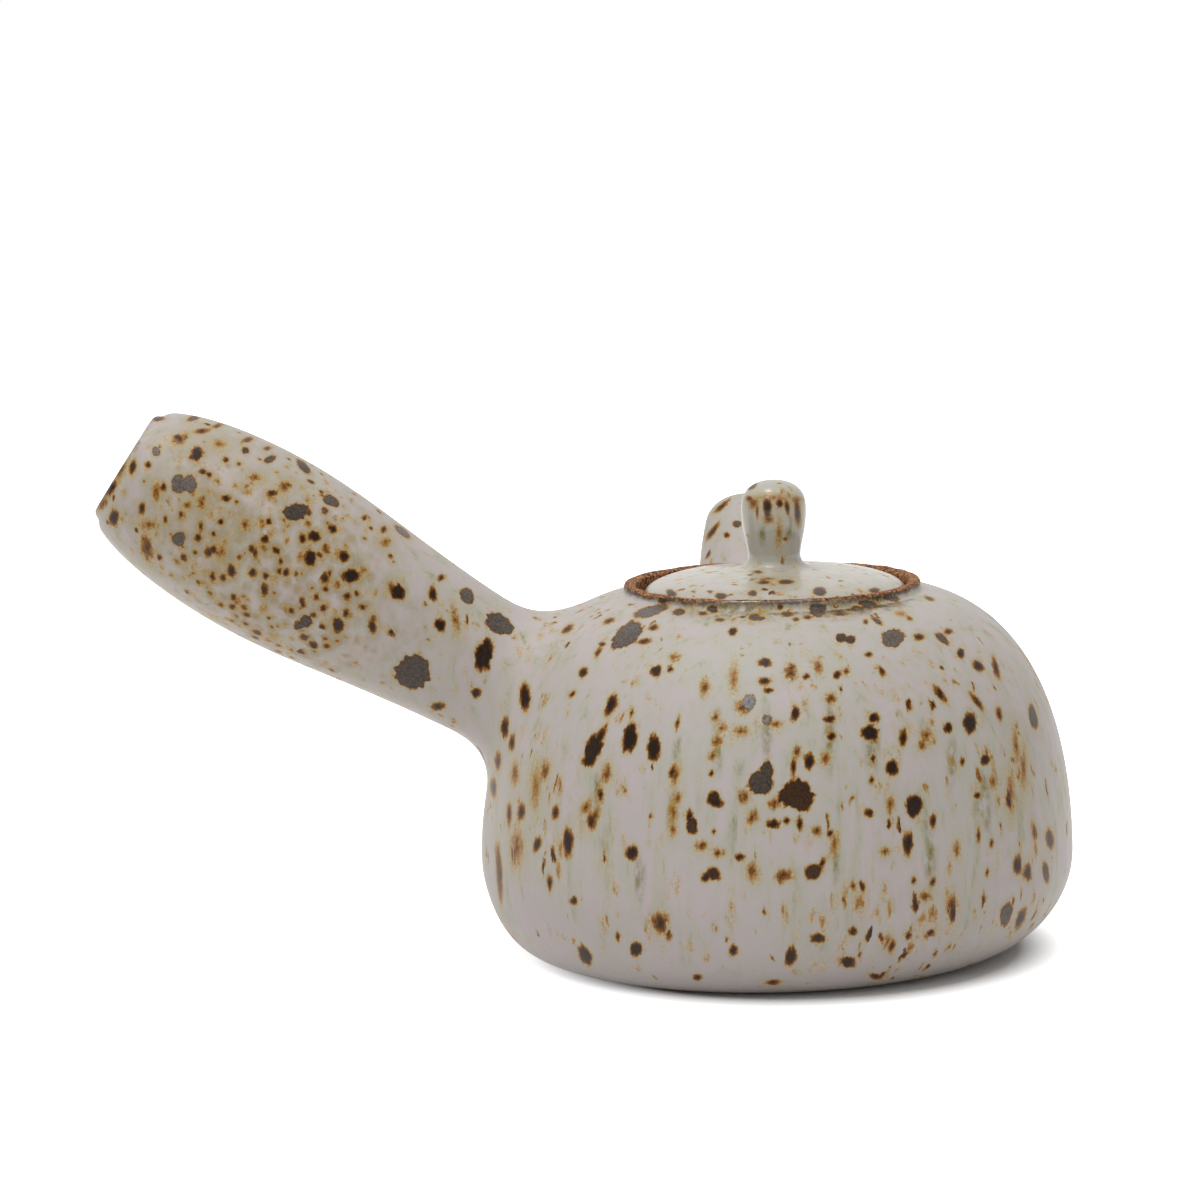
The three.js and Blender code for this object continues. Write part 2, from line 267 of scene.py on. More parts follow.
class ClaySkin:
    # vertices and faces gathered row by row and ring by ring

    def __init__(self):
        self.vertices, self.faces, self.bare = [], [], []

    def add(self, points, bare=-farOff):
        # bare is how far in mm the points lie inside the unglazed clay, negative under the glaze
        first = len(self.vertices)
        self.vertices.extend(points)
        self.bare.extend(np.broadcast_to(bare, len(points)))
        return list(range(first, first + len(points)))

    def bridge(self, ringA, ringB):
        n = len(ringA)
        for i in range(n):
            j = (i + 1) % n
            self.faces.append((ringA[i], ringA[j], ringB[j], ringB[i]))

    def close(self, ring, centre):
        tip = self.add([np.array(centre, float)])[0]
        n = len(ring)
        for i in range(n):
            self.faces.append((ring[i], ring[(i + 1) % n], tip))

    def wall(self, rows, gaps):
        # joins neighbouring rows, leaving out the faces inside each gap
        n = len(rows[0])
        for i in range(len(rows) - 1):
            for j in range(n):
                if not any(i0 <= i < i1 and j0 <= j < j1 for i0, i1, j0, j1 in gaps):
                    k = (j + 1) % n
                    self.faces.append((rows[i][j], rows[i][k], rows[i + 1][k], rows[i + 1][j]))

    def gapEdge(self, rows, gap):
        i0, i1, j0, j1 = gap
        return ([rows[i0][j] for j in range(j0, j1)] + [rows[i][j1] for i in range(i0, i1)]
                + [rows[i1][j] for j in range(j1, j0, -1)] + [rows[i][j0] for i in range(i1, i0, -1)])


def ringAngles(skin, edge, place):
    root, axis, top, side = place
    away = np.array([skin.vertices[i] for i in edge]) - root
    return np.unwrap(np.arctan2(away @ side, away @ top))


def tubeRing(place, along, radius, angles, lean=0.0):
    # a ring round a tube's axis; lean tips it about its level direction, in degrees
    root, axis, top, side = place
    rise = np.cos(angles)[:, None] * top
    across = radius * (rise + np.sin(angles)[:, None] * side)
    fallBack = radius * np.cos(angles) * math.tan(math.radians(lean))
    return root + axis * along + across - axis * fallBack[:, None]


def evenAngles(angles):
    n = len(angles)
    turn = np.sign(angles[-1] - angles[0]) * 2 * math.pi * np.arange(n) / n
    return turn + (angles - turn).mean()


def flareRings(skin, edge, place, outline, reach, count):
    # rings from the edge of a gap in the side out to a full ring of the tube, laid onto the smooth skin
    cornerAlong, cornerGrowth = 1.5, 1.08
    angles = ringAngles(skin, edge, place)
    even = evenAngles(angles)
    near = np.array([skin.vertices[i] for i in edge])
    far = tubeRing(place, reach, np.interp(reach, outline[:, 1], outline[:, 0]), even)
    corner = tubeRing(place, cornerAlong, outline[0, 0] * cornerGrowth, (angles + even) / 2)
    ring = edge
    for t in np.linspace(0, 1, count + 1)[1:]:
        points = (1 - t) ** 2 * near + 2 * t * (1 - t) * corner + t ** 2 * far
        ring = nextRing(skin, ring, laidOnto(skinDistance, points))
    return ring, even


def nextRing(skin, ring, points, bare=-farOff):
    step = skin.add(points, bare)
    skin.bridge(ring, step)
    return step


def alignedRing(skin, ring, place, angles):
    # the same ring started and turned so that its points answer to the given angles
    around = np.exp(1j * ringAngles(skin, ring, place))
    wanted = np.exp(1j * angles)
    choices = [(np.abs(np.roll(around[::way], shift) - wanted).sum(), way, shift)
               for way in (1, -1) for shift in range(len(ring))]
    _, way, shift = min(choices)
    return list(np.roll(ring[::way], shift))


def tubeWall(skin, ring, place, angles, outline, fromAlong, wall, boreTo,
             lean=0.0, spacing=2.6, wiped=-farOff):
    # carries a tube from a ring out to its lip, over it, and back down its bore; gives the last ring.
    # wiped is how bare the lip is, in mm, and that fades away from it
    end, fade = outline[-1, 1], 0.8
    wanted = outline[outline[:, 1] > fromAlong + spacing * 0.6]
    wanted = evenPoints(wanted[wanted[:, 1] < end - wall / 2], spacing)
    middle = (outline[-1, 0] - wall / 2, end - wall / 2)
    lip = arcPoints(middle, wall / 2, 0, 180, 7)
    bore = outline[(outline[:, 1] < end - wall) & (outline[:, 1] > boreTo)][::-1]
    bore = evenPoints(bore, spacing * 1.3)
    for radius, along in np.concatenate([wanted, lip, bore - [wall, 0]]):
        tip = lean * np.clip((along - end * 0.6) / (end * 0.4), 0, 1)
        ring = nextRing(skin, ring, tubeRing(place, along, radius, angles, tip),
                        wiped - fade * (end - along))
    return ring


def tipped(p):
    # the mouth's slight tip; it fades out over the shoulder and down the side
    f = potForm
    radius = np.hypot(p[:, 0], p[:, 1])
    rise = f["mouthTip"] * (1 - p[:, 1] / f["rimOuter"])
    fade = (np.clip((f["tipRadius"] - radius) / f["tipFade"], 0, 1)
            * np.clip((p[:, 2] - f["tipHeight"]) / f["tipFade"], 0, 1))
    return p + np.stack([0 * rise, 0 * rise, rise * fade], 1)


def lobed(p):
    # moves points out by the foot's bulge
    away = p[:, :2] / np.maximum(np.hypot(p[:, 0], p[:, 1]), 1e-6)[:, None]
    return np.concatenate([p[:, :2] + away * footLobe(p)[:, None], p[:, 2:]], 1)


def makePot():
    f = potForm
    n = f["columns"]
    spacing = f["rowSpacing"]
    side = evenPoints(fineSide, spacing)
    neck = fineSide[-1]
    edge = f["lipEdge"]
    rimTop = np.concatenate([
        arcPoints((f["rimOuter"] + 0.2 - edge, f["rimHeight"] + 0.15 - edge), edge, 0, 80, 4),
        [(f["rimOuter"] - 0.9, f["rimHeight"] + 0.2)],
        arcPoints((f["rimInner"] + edge, f["rimHeight"] - edge), edge, 100, 180, 4)])
    seat = f["rimHeight"] - f["seatDepth"]
    mouth = f["rimInner"] - f["seatWidth"]
    collar = bezierPoints(neck, (neck[0] - 0.8, neck[1] + 0.2), (f["rimOuter"], neck[1] + 0.3),
                          rimTop[0], 6)[1:-1]
    gallery = np.array([
        (f["rimInner"], seat + 2.4), (f["rimInner"], seat + 0.6), (f["rimInner"] - 0.15, seat + 0.15),
        (f["rimInner"] - 0.6, seat), (f["rimInner"] - 1.8, seat), (mouth + 0.5, seat),
        (mouth + 0.1, seat - 0.15), (mouth, seat - 0.6), (mouth, seat - f["seatThickness"] + 0.5),
        (mouth + 0.4, seat - f["seatThickness"])])
    inner = offsetOutline(evenPoints(fineSide, spacing), -f["wall"])[::-1]
    inner = inner[(inner[:, 0] > mouth + 1) & (inner[:, 1] > f["floor"] + 0.3)]
    floorRows = np.array([(r, f["floor"]) for r in (inner[-1, 0] - 2, 28, 16, 6)])
    footRows = np.array([(r, 0.0) for r in (6, 16, 26, 33, 36)])

    headings = np.radians(np.arange(n) * 360 / n)
    towardsBreak = np.maximum(np.cos(headings - math.radians(f["breakHeading"])), 0) ** 3
    glassy = np.maximum(np.cos(headings - math.radians(f["glassyHeading"])), 0) ** 10
    skin = ClaySkin()
    outside = [skin.add(lobed(turnedRow(r, z, n))) for r, z in footRows]
    sideRows, rimRows = [], []
    for (r, z), below in zip(side, np.linalg.norm(side - side[-1], axis=1)):
        row = turnedRow(r, z, n)
        bare = f["breakDepth"] * towardsBreak - f["breakStart"] - f["breakFade"] * below
        sideRows.append(skin.add(laidOnto(skinDistance, row) if z > f["levelRows"] else lobed(row),
                                 bare if below < f["breakReach"] else -farOff))
    for r, z in np.concatenate([collar, rimTop, gallery]):
        bare = 2 * (z - f["rimHeight"]) + 0.4 + 0.3 * towardsBreak - 0.75 * glassy
        rimRows.append(skin.add(lumpy(turnedRow(r, z, n), f["lumps"], f["lumpSize"]),
                                bare if r > f["rimOuter"] - 0.6 else f["bareInside"]))
    innerRows = [skin.add(turnedRow(r, z, n), f["bareInside"]) for r, z in inner]
    floors = [skin.add(turnedRow(r, z, n), f["bareInside"]) for r, z in floorRows]

    # gaps in the rows where the handle, the spout and the port join on
    half = handleForm["patchColumns"]
    lowHeight, highRadius = handleForm["patchRows"]
    low = int(np.argmin(np.abs(side[:, 1] - lowHeight)))
    shoulder = np.flatnonzero(side[:, 1] >= f["shoulderFrom"])
    high = int(shoulder[np.argmin(np.abs(side[shoulder, 0] - highRadius))])
    handleGap = (low, high, n // 2 - half, n // 2 + half)
    spoutRow = int(np.argmin(np.linalg.norm(
        side - [math.hypot(*spoutPlace[0][:2]), spoutPlace[0][2]], axis=1)))
    half = spoutForm["patchHalf"]
    spoutGap = (spoutRow - half, spoutRow + half, n // 4 - half + 1, n // 4 + half + 1)
    portPoint = spoutPlace[0] - spoutPlace[1] * f["wall"] * 1.06
    portPoint = [math.hypot(*portPoint[:2]), portPoint[2]]
    portRow = int(np.argmin(np.linalg.norm(inner - portPoint, axis=1)))
    portGap = (portRow - half, portRow + half, spoutGap[2], spoutGap[3])

    under = len(outside)
    skin.wall(outside + sideRows,
              [(a + under, b + under, c, d) for a, b, c, d in (handleGap, spoutGap)])
    skin.wall([sideRows[-1]] + rimRows + [innerRows[0]], [])
    skin.wall(innerRows, [portGap])
    skin.wall([innerRows[-1]] + floors, [])
    skin.close(outside[0], (0, 0, 0))
    skin.close(floors[-1], (0, 0, f["floor"]))
    addHandle(skin, skin.gapEdge(sideRows, handleGap))
    addSpout(skin, skin.gapEdge(sideRows, spoutGap), skin.gapEdge(innerRows, portGap))
    skin.vertices = list(tipped(np.array(skin.vertices)))
    made = meshPiece("pot_skin", skin, "pot",
                     ["body", "handle", "handle_joint", "spout", "spout_joint"], 2)
    settle(made)
    return made


def addHandle(skin, edge):
    f = handleForm
    ring, angles = flareRings(skin, edge, handlePlace, handleLine, f["flare"], f["flareRings"])
    ring = tubeWall(skin, ring, handlePlace, angles, handleLine, f["flare"], f["wall"], 1.5,
                    lean=f["endTilt"] - f["tilt"], wiped=f["wiped"])
    for share in (0.8, 0.45, 0.15):
        radius = (f["waistRadius"] - f["wall"]) * share
        ring = nextRing(skin, ring, tubeRing(handlePlace, f["boreEnd"], radius, angles))
    skin.close(ring, handlePlace[0] + handlePlace[1] * f["boreEnd"])


def addSpout(skin, edge, portEdge):
    f = spoutForm
    ring, angles = flareRings(skin, edge, spoutPlace, spoutLine, f["flare"], f["flareRings"])
    ring = tubeWall(skin, ring, spoutPlace, angles, spoutLine, f["flare"], f["wall"], 2.0, spacing=2.0)
    ring = nextRing(skin, ring, tubeRing(spoutPlace, 0.2, f["rootRadius"] - f["wall"] - 0.2, angles))
    ring = nextRing(skin, ring, tubeRing(spoutPlace, -0.4, f["portRadius"] + 0.3, angles))
    port = tubeRing(spoutPlace, -4.5, f["portRadius"], angles)
    portEdge = alignedRing(skin, portEdge, spoutPlace, angles)
    far = np.array([skin.vertices[i] for i in portEdge])
    for t in (0, 0.04, 0.3, 0.65):
        ring = nextRing(skin, ring, laidOnto(cavityDistance, port + t * (far - port)))
    skin.bridge(ring, portEdge)


# Lid and knob, turned as one outline

lidForm = dict(
    radius=23.3, bottom=60.8, edge=1.9, rise=4.6, crown=12.0, brow=3.2, thickness=3.4, shift=0.5,
    flangeRadius=19.6, flangeThickness=2.4, flangeDepth=6.4, ventRadius=1.6, ventDistance=13.5,
    columns=96,
)
knobForm = dict(
    top=82.7, crown=5.0, radius=5.75, stemRadius=4.6, stemHeight=69.6, footRadius=7.4,
    footHeight=67.2,
)


def makeLid():
    f, k = lidForm, knobForm
    bottom, edgeTop = f["bottom"], f["bottom"] + f["edge"]
    top = edgeTop + f["rise"]
    swellAt = k["top"] - k["crown"]
    ceiling = top - f["thickness"]
    outer, inner = f["flangeRadius"], f["flangeRadius"] - f["flangeThickness"]
    flangeEnd = bottom - f["flangeDepth"]
    dome = bezierPoints((0, top), (f["crown"], top), (f["radius"], edgeTop + f["brow"]),
                        (f["radius"], edgeTop), 60)
    knobTop = bezierPoints((0, k["top"]), (k["radius"] * 0.62, k["top"]),
                           (k["radius"], k["top"] - k["crown"] / 3), (k["radius"], swellAt), 30)
    stem = bezierPoints((k["radius"], swellAt), (k["radius"], swellAt - 4),
                        (k["stemRadius"] + 0.2, k["stemHeight"] + 2.2),
                        (k["stemRadius"], k["stemHeight"]), 30)
    foot = bezierPoints((k["stemRadius"], k["stemHeight"]), (k["stemRadius"], k["footHeight"] + 0.9),
                        (k["stemRadius"] + 0.8, k["footHeight"] + 0.1),
                        (k["footRadius"], k["footHeight"] - 0.02), 30)
    outline = np.concatenate([
        evenPoints(knobTop, 0.7)[1:], evenPoints(stem, 0.9)[1:], evenPoints(foot, 0.45)[1:],
        evenPoints(dome[dome[:, 0] > k["footRadius"] + 0.4], 1.3),
        [(f["radius"], bottom + 0.5), (f["radius"] - 0.15, bottom + 0.15), (f["radius"] - 0.5, bottom),
         (outer + 0.9, bottom), (outer + 0.25, bottom - 0.1), (outer, bottom - 0.5),
         (outer, bottom - 3), (outer, flangeEnd + 0.6), (outer - 0.6, flangeEnd),
         (inner + 0.6, flangeEnd), (inner, flangeEnd + 0.6), (inner, bottom - 2),
         (inner - 0.6, bottom + 0.6),
         (f["crown"] + 1.5, ceiling - 0.8), (f["crown"] - 1.5, ceiling), (6, ceiling), (2, ceiling)],
    ])
    skin = ClaySkin()
    rows = [skin.add(turnedRow(r, z, f["columns"]) + [f["shift"], 0, 0]) for r, z in outline]
    skin.wall(rows, [])
    skin.close(rows[0], (f["shift"], 0, k["top"]))
    skin.close(rows[-1], (f["shift"], 0, ceiling))
    skin.vertices = list(tipped(np.array(skin.vertices)))
    made = meshPiece("lid_and_knob", skin, "lid", ["lid", "knob", "knob_joint"])
    bpy.ops.mesh.primitive_cylinder_add(vertices=32, radius=f["ventRadius"] * mm, depth=0.06,
                                        location=(0, f["ventDistance"] * mm, top * mm))
    drill = bpy.context.object
    vent = made.modifiers.new("vent", "BOOLEAN")
    vent.operation, vent.solver, vent.object = "DIFFERENCE", "EXACT", drill
    settle(made)
    bpy.data.objects.remove(drill)
    return made


# Materials

def linear(hexCode, alpha=1.0):
    # an sRGB hex colour as linear light
    parts = [int(hexCode[i:i + 2], 16) / 255 for i in (1, 3, 5)]
    parts = [v / 12.92 if v <= 0.04045 else ((v + 0.055) / 1.055) ** 2.4 for v in parts]
    return (*parts, alpha)


def addNode(tree, kind, inputs=None, stops=None, **settings):
    # adds one node with its settings, its values and links, and a ramp's stops; a node that is given
    # as a value stands for its first output in use, and hex colours are turned linear
    node = tree.nodes.new("ShaderNode" + kind)
    for name, value in settings.items():
        setattr(node, name, value)
    for key, value in (inputs or {}).items():
        if isinstance(value, bpy.types.Node):
            value = next(output for output in value.outputs if output.enabled)
        if isinstance(value, bpy.types.NodeSocket):
            tree.links.new(value, node.inputs[key])
        else:
            node.inputs[key].default_value = linear(value) if isinstance(value, str) else value
    for i, (place, *colour) in enumerate(stops or []):
        element = node.color_ramp.elements[i] if i < 2 else node.color_ramp.elements.new(place)
        element.position, element.color = place, linear(*colour)
    return node


def startMaterial(name):
    # an empty material, what adds a node to its tree, and the place on the piece in mm
    made = bpy.data.materials.new(name)
    made.use_nodes = True
    tree = made.node_tree
    tree.nodes.clear()
    add = partial(addNode, tree)
    metres = add("TexCoord").outputs["Object"]
    return made, add, add("VectorMath", {0: metres, 1: (1 / mm, 1 / mm, 1 / mm)}, operation="MULTIPLY")


# Stoneware glaze over iron-bearing clay, dipped and fired in reduction: a satin, pinkish grey
# ground that has run a little down the walls, with iron from the clay bled through it as spots.
# To the eye: soft broad highlights, ochre edges round brown spots, matt grey-brown centres in the
# widest ones, and pale green trails where the glaze is thick.
potGlaze = dict(
    pink="#C4B8B8", grey="#BEB7B2", green="#B6B5A3", footShadeMauve="#B1A9A8", moss="#7F743C", tan="#9C8760",
    roughness=0.42, spotRoughness=0.36, ior=1.5, specular=0.22, coat=0.0,
    # what varies, each with its size in mm and its noise's detail and roughness: clouds of pink and
    # grey, a tan haze, patches with more spots, flecks inside spots, the bare clay's edge, the glaze
    # thinned beside it, dull areas, waves of the thrown wall, and the glaze's own skin
    patterns=dict(cloud=(14.286, 3, 0.55), haze=(3.3333, 4, 0.65), patch=(18.182, 2, 0.5),
                  fleck=(0.41667, 4, 0.75), wander=(2.9412, 5, 0.65), thin=(1.1111, 4, 0.7),
                  dull=(4.0, 3, 0.5), wave=(11.111, 2, 0.5), skin=(1.1111, 3, 0.5)),
    # and what the glaze's flow draws out: sizes, and how flat each is drawn together in height
    streakSize=3.3333, streakDrawn=0.16, curdSize=1.25, curdDrawn=0.5, tearSize=0.66667,
    tearDrawn=0.65, bendSize=2.0,
    waveRelief=0.5, skinRelief=0.035, wander=3.6,  # how much some of these move, in mm
    # height above runFrom is drawn together by run, so that spots are that much taller than wide,
    # and sway is how far they bend, in mm; both change along the handle between two places on X
    runFrom=60.0, run=0.42, handleRun=0.85, sway=3.0, handleSway=1.2, handleFrom=-44.0, handleTo=-66.0,
    footShadeFrom=22.0, footShadeTo=4.0,  # heights between which the foot is painted a darker mauve, painted shade
    rollFrom=-20.0, rollTo=-24.5,  # places on Y between which the glassy roll comes in
    layers=[
        # cell and radii in mm; share is how many cells hold a spot, yields is how much smaller the
        # spots are where listed ones are placed, and lift keeps the last kind to ochre marks
        dict(cell=7.0, least=0.5, most=2.2, share=0.4, shift=3.0, yields=9.0, iron=1.2, ragged=1.1,
             lift=0.0),
        dict(cell=3.4, least=0.2, most=1.1, share=0.5, shift=17.0, yields=0.5, iron=1.3, ragged=0.6,
             lift=0.0),
        dict(cell=2.0, least=0.1, most=0.8, share=0.6, shift=41.0, yields=0.32, iron=1.3,
             ragged=0.35, lift=0.0),
        dict(cell=2.2, least=0.3, most=1.0, share=0.7, shift=59.0, yields=0.1, iron=0.42,
             ragged=0.5, lift=-0.3),
    ],
    fewLarge=2.2,  # most spots of a layer stay near its least radius
    ragged=1.7, cluster=0.6, crowd=0.36, streak=0.75,
)
lidGlaze = dict(potGlaze, pink="#BDB6AF", grey="#B9B5AA", green="#B4B3A2", footShadeMauve="#B5AEA9",
                roughness=0.3, spotRoughness=0.5, specular=0.25, coat=0.35, ragged=0.8, streak=0.7)

# The spots of iron that show most, each as it lies in the photograph's 1200 px frame: pixel across,
# pixel down, width and height in pixels, lean in degrees to the right, and how much iron it holds:
# less than 1 stays ochre, 1 is brown, 3 and more pools to a grey that grows paler with it, partly
# matt iron and partly a painted reflection of the light above on glossy spots, pale blue-grey at 5 and
# more
handleBlots = dict(
    lip1=(142, 430, 7, 20, 28, 0.6), lip2=(130, 451, 7, 18, 28, 0.9),
    lip3=(120, 470, 7, 16, 28, 0.5), lip4=(111, 488, 8, 18, 28, 0.9),
    lip5=(103, 503, 7, 12, 28, 0.6), topGrey1=(194, 419, 13, 5, -15, 4),
    topGrey2=(217, 425, 12, 4, -20, 3.4), slope1=(247, 440, 12, 5, -20, 3.4),
    slope2=(245, 450, 8, 7, 0, 2.6), slope3=(269, 449, 9, 4, -15, 3.6),
    slope4=(269, 459, 13, 7, -25, 3.4), dashLow=(204, 472, 9, 6, 0, 2.2),
    dashRight=(211, 475, 6, 6, 0, 0.8), speck1=(212, 549, 8, 9, 0, 0.8),
    speck2=(254, 551, 5, 13, 0, 0.9), speck3=(200, 525, 5, 11, 0, 0.8),
    speck4=(181, 514, 5, 9, 0, 0.8), speck5=(268, 521, 7, 7, 0, 0.7),
    speck9=(177, 437, 8, 6, -20, 0.8), speck10=(290, 609, 7, 7, 0, 0.9),
    speck11=(303, 604, 6, 8, 0, 0.9), speck12=(316, 596, 6, 8, 0, 0.8),
    speck13=(327, 589, 7, 6, 0, 0.8), speck14=(366, 518, 7, 5, -30, 0.9),
    speck15=(385, 530, 8, 6, -40, 0.9), speck16=(387, 543, 8, 6, -30, 0.6),
    speck17=(281, 561, 5, 7, 0, 0.9), speck18=(280, 573, 6, 8, 0, 0.8),
    speck19=(212, 533, 6, 6, 0, 0.7), speck20=(167, 520, 5, 8, 0, 0.7),
    speck21=(187, 505, 6, 6, 0, 0.6), speck22=(246, 524, 6, 8, 0, 0.6),
    speck23=(222, 577, 7, 9, 0, 0.7), speck24=(324, 609, 7, 8, 0, 0.7),
    speck25=(442, 578, 9, 6, -40, 0.7), speck26=(391, 587, 5, 7, 0, 0.6),
    speck6=(222, 552, 6, 10, 0, 0.45), speck7=(277, 550, 6, 7, 0, 0.9),
    # endPale and the twins below are drawn pale grey partly for a painted reflection of the light on
    # them
    speck8=(220, 445, 8, 5, 0, 0.5), endTop=(158, 418, 12, 6, 0, 3), endPale=(157, 451, 8, 9, 0, 5),
    endUpper=(133, 468, 7, 15, 15, 0.8), endLower=(114, 518, 10, 17, 10, 0.9),
    endBelow=(141, 507, 7, 13, 0, 0.7), endStreak=(147, 548, 10, 24, -10, 0.6),
    endSmear=(148, 524, 12, 6, 0, 0.4), twinLeft=(179, 484, 16, 19, 0, 4.5),
    twinRight=(190, 484, 14, 18, 0, 4.5), twinFootLeft=(155, 491, 6, 13, 0, 0.6),
    twinFootRight=(164, 488, 6, 9, 0, 0.8), crown=(197, 454, 13, 15, 0, 1),
    crownSmear=(180, 440, 14, 8, -20, 0.6), crownDash=(203, 431, 16, 5, -10, 0.7),
    green=(179, 539, 14, 14, 0, 4), greenRight=(200, 538, 7, 9, 0, 0.7),
    greenAbove=(203, 503, 6, 9, 0, 0.5), dash=(227, 500, 11, 7, 0, 1), dot=(222, 523, 7, 7, 0, 0.9),
    brow=(272, 494, 13, 7, -20, 0.9), browSmall=(285, 486, 10, 8, -30, 0.5),
    browAbove=(255, 478, 9, 6, 0, 0.6), broad=(296, 512, 25, 18, -15, 2.8),
    broadAbove=(305, 468, 8, 18, -45, 3), broadRight=(331, 501, 10, 18, -60, 4),
    below1=(301, 538, 7, 10, 0, 1), below2=(314, 536, 13, 12, 0, 1),
    below3=(333, 529, 8, 9, 0, 0.8), below4=(310, 558, 13, 17, 0, 1),
    amber=(351, 576, 20, 13, 0, 0.8), middle1=(232, 570, 9, 14, 0, 1),
    middle2=(265, 590, 8, 15, -5, 0.8), middle3=(234, 597, 7, 8, 0, 0.9),
    middle4=(275, 550, 5, 7, 0, 0.8), low1=(306, 621, 13, 13, 0, 2.8),
    low2=(338, 625, 12, 16, -15, 0.9), low3=(345, 613, 7, 9, 0, 1), low4=(362, 607, 9, 6, 0, 1),
    low5=(372, 627, 8, 15, -15, 1), low6=(347, 597, 8, 8, 0, 0.9),
    neck1=(398, 592, 14, 17, -10, 0.95), neck2=(434, 594, 8, 17, 0, 0.9),
    neck3=(467, 596, 13, 18, -20, 4), neck4=(440, 625, 12, 14, 0, 1),
    neck5=(455, 620, 5, 20, -10, 0.6), neckEdge=(404, 533, 7, 18, -50, 5),
    great=(413, 672, 34, 36, 0, 2.9), root=(499, 624, 20, 30, -70, 3.6),
    rootBelow=(484, 655, 18, 34, 10, 1), rootLow=(476, 693, 10, 11, 0, 0.7),
    rootLeft=(438, 707, 15, 8, -10, 0.7),
)
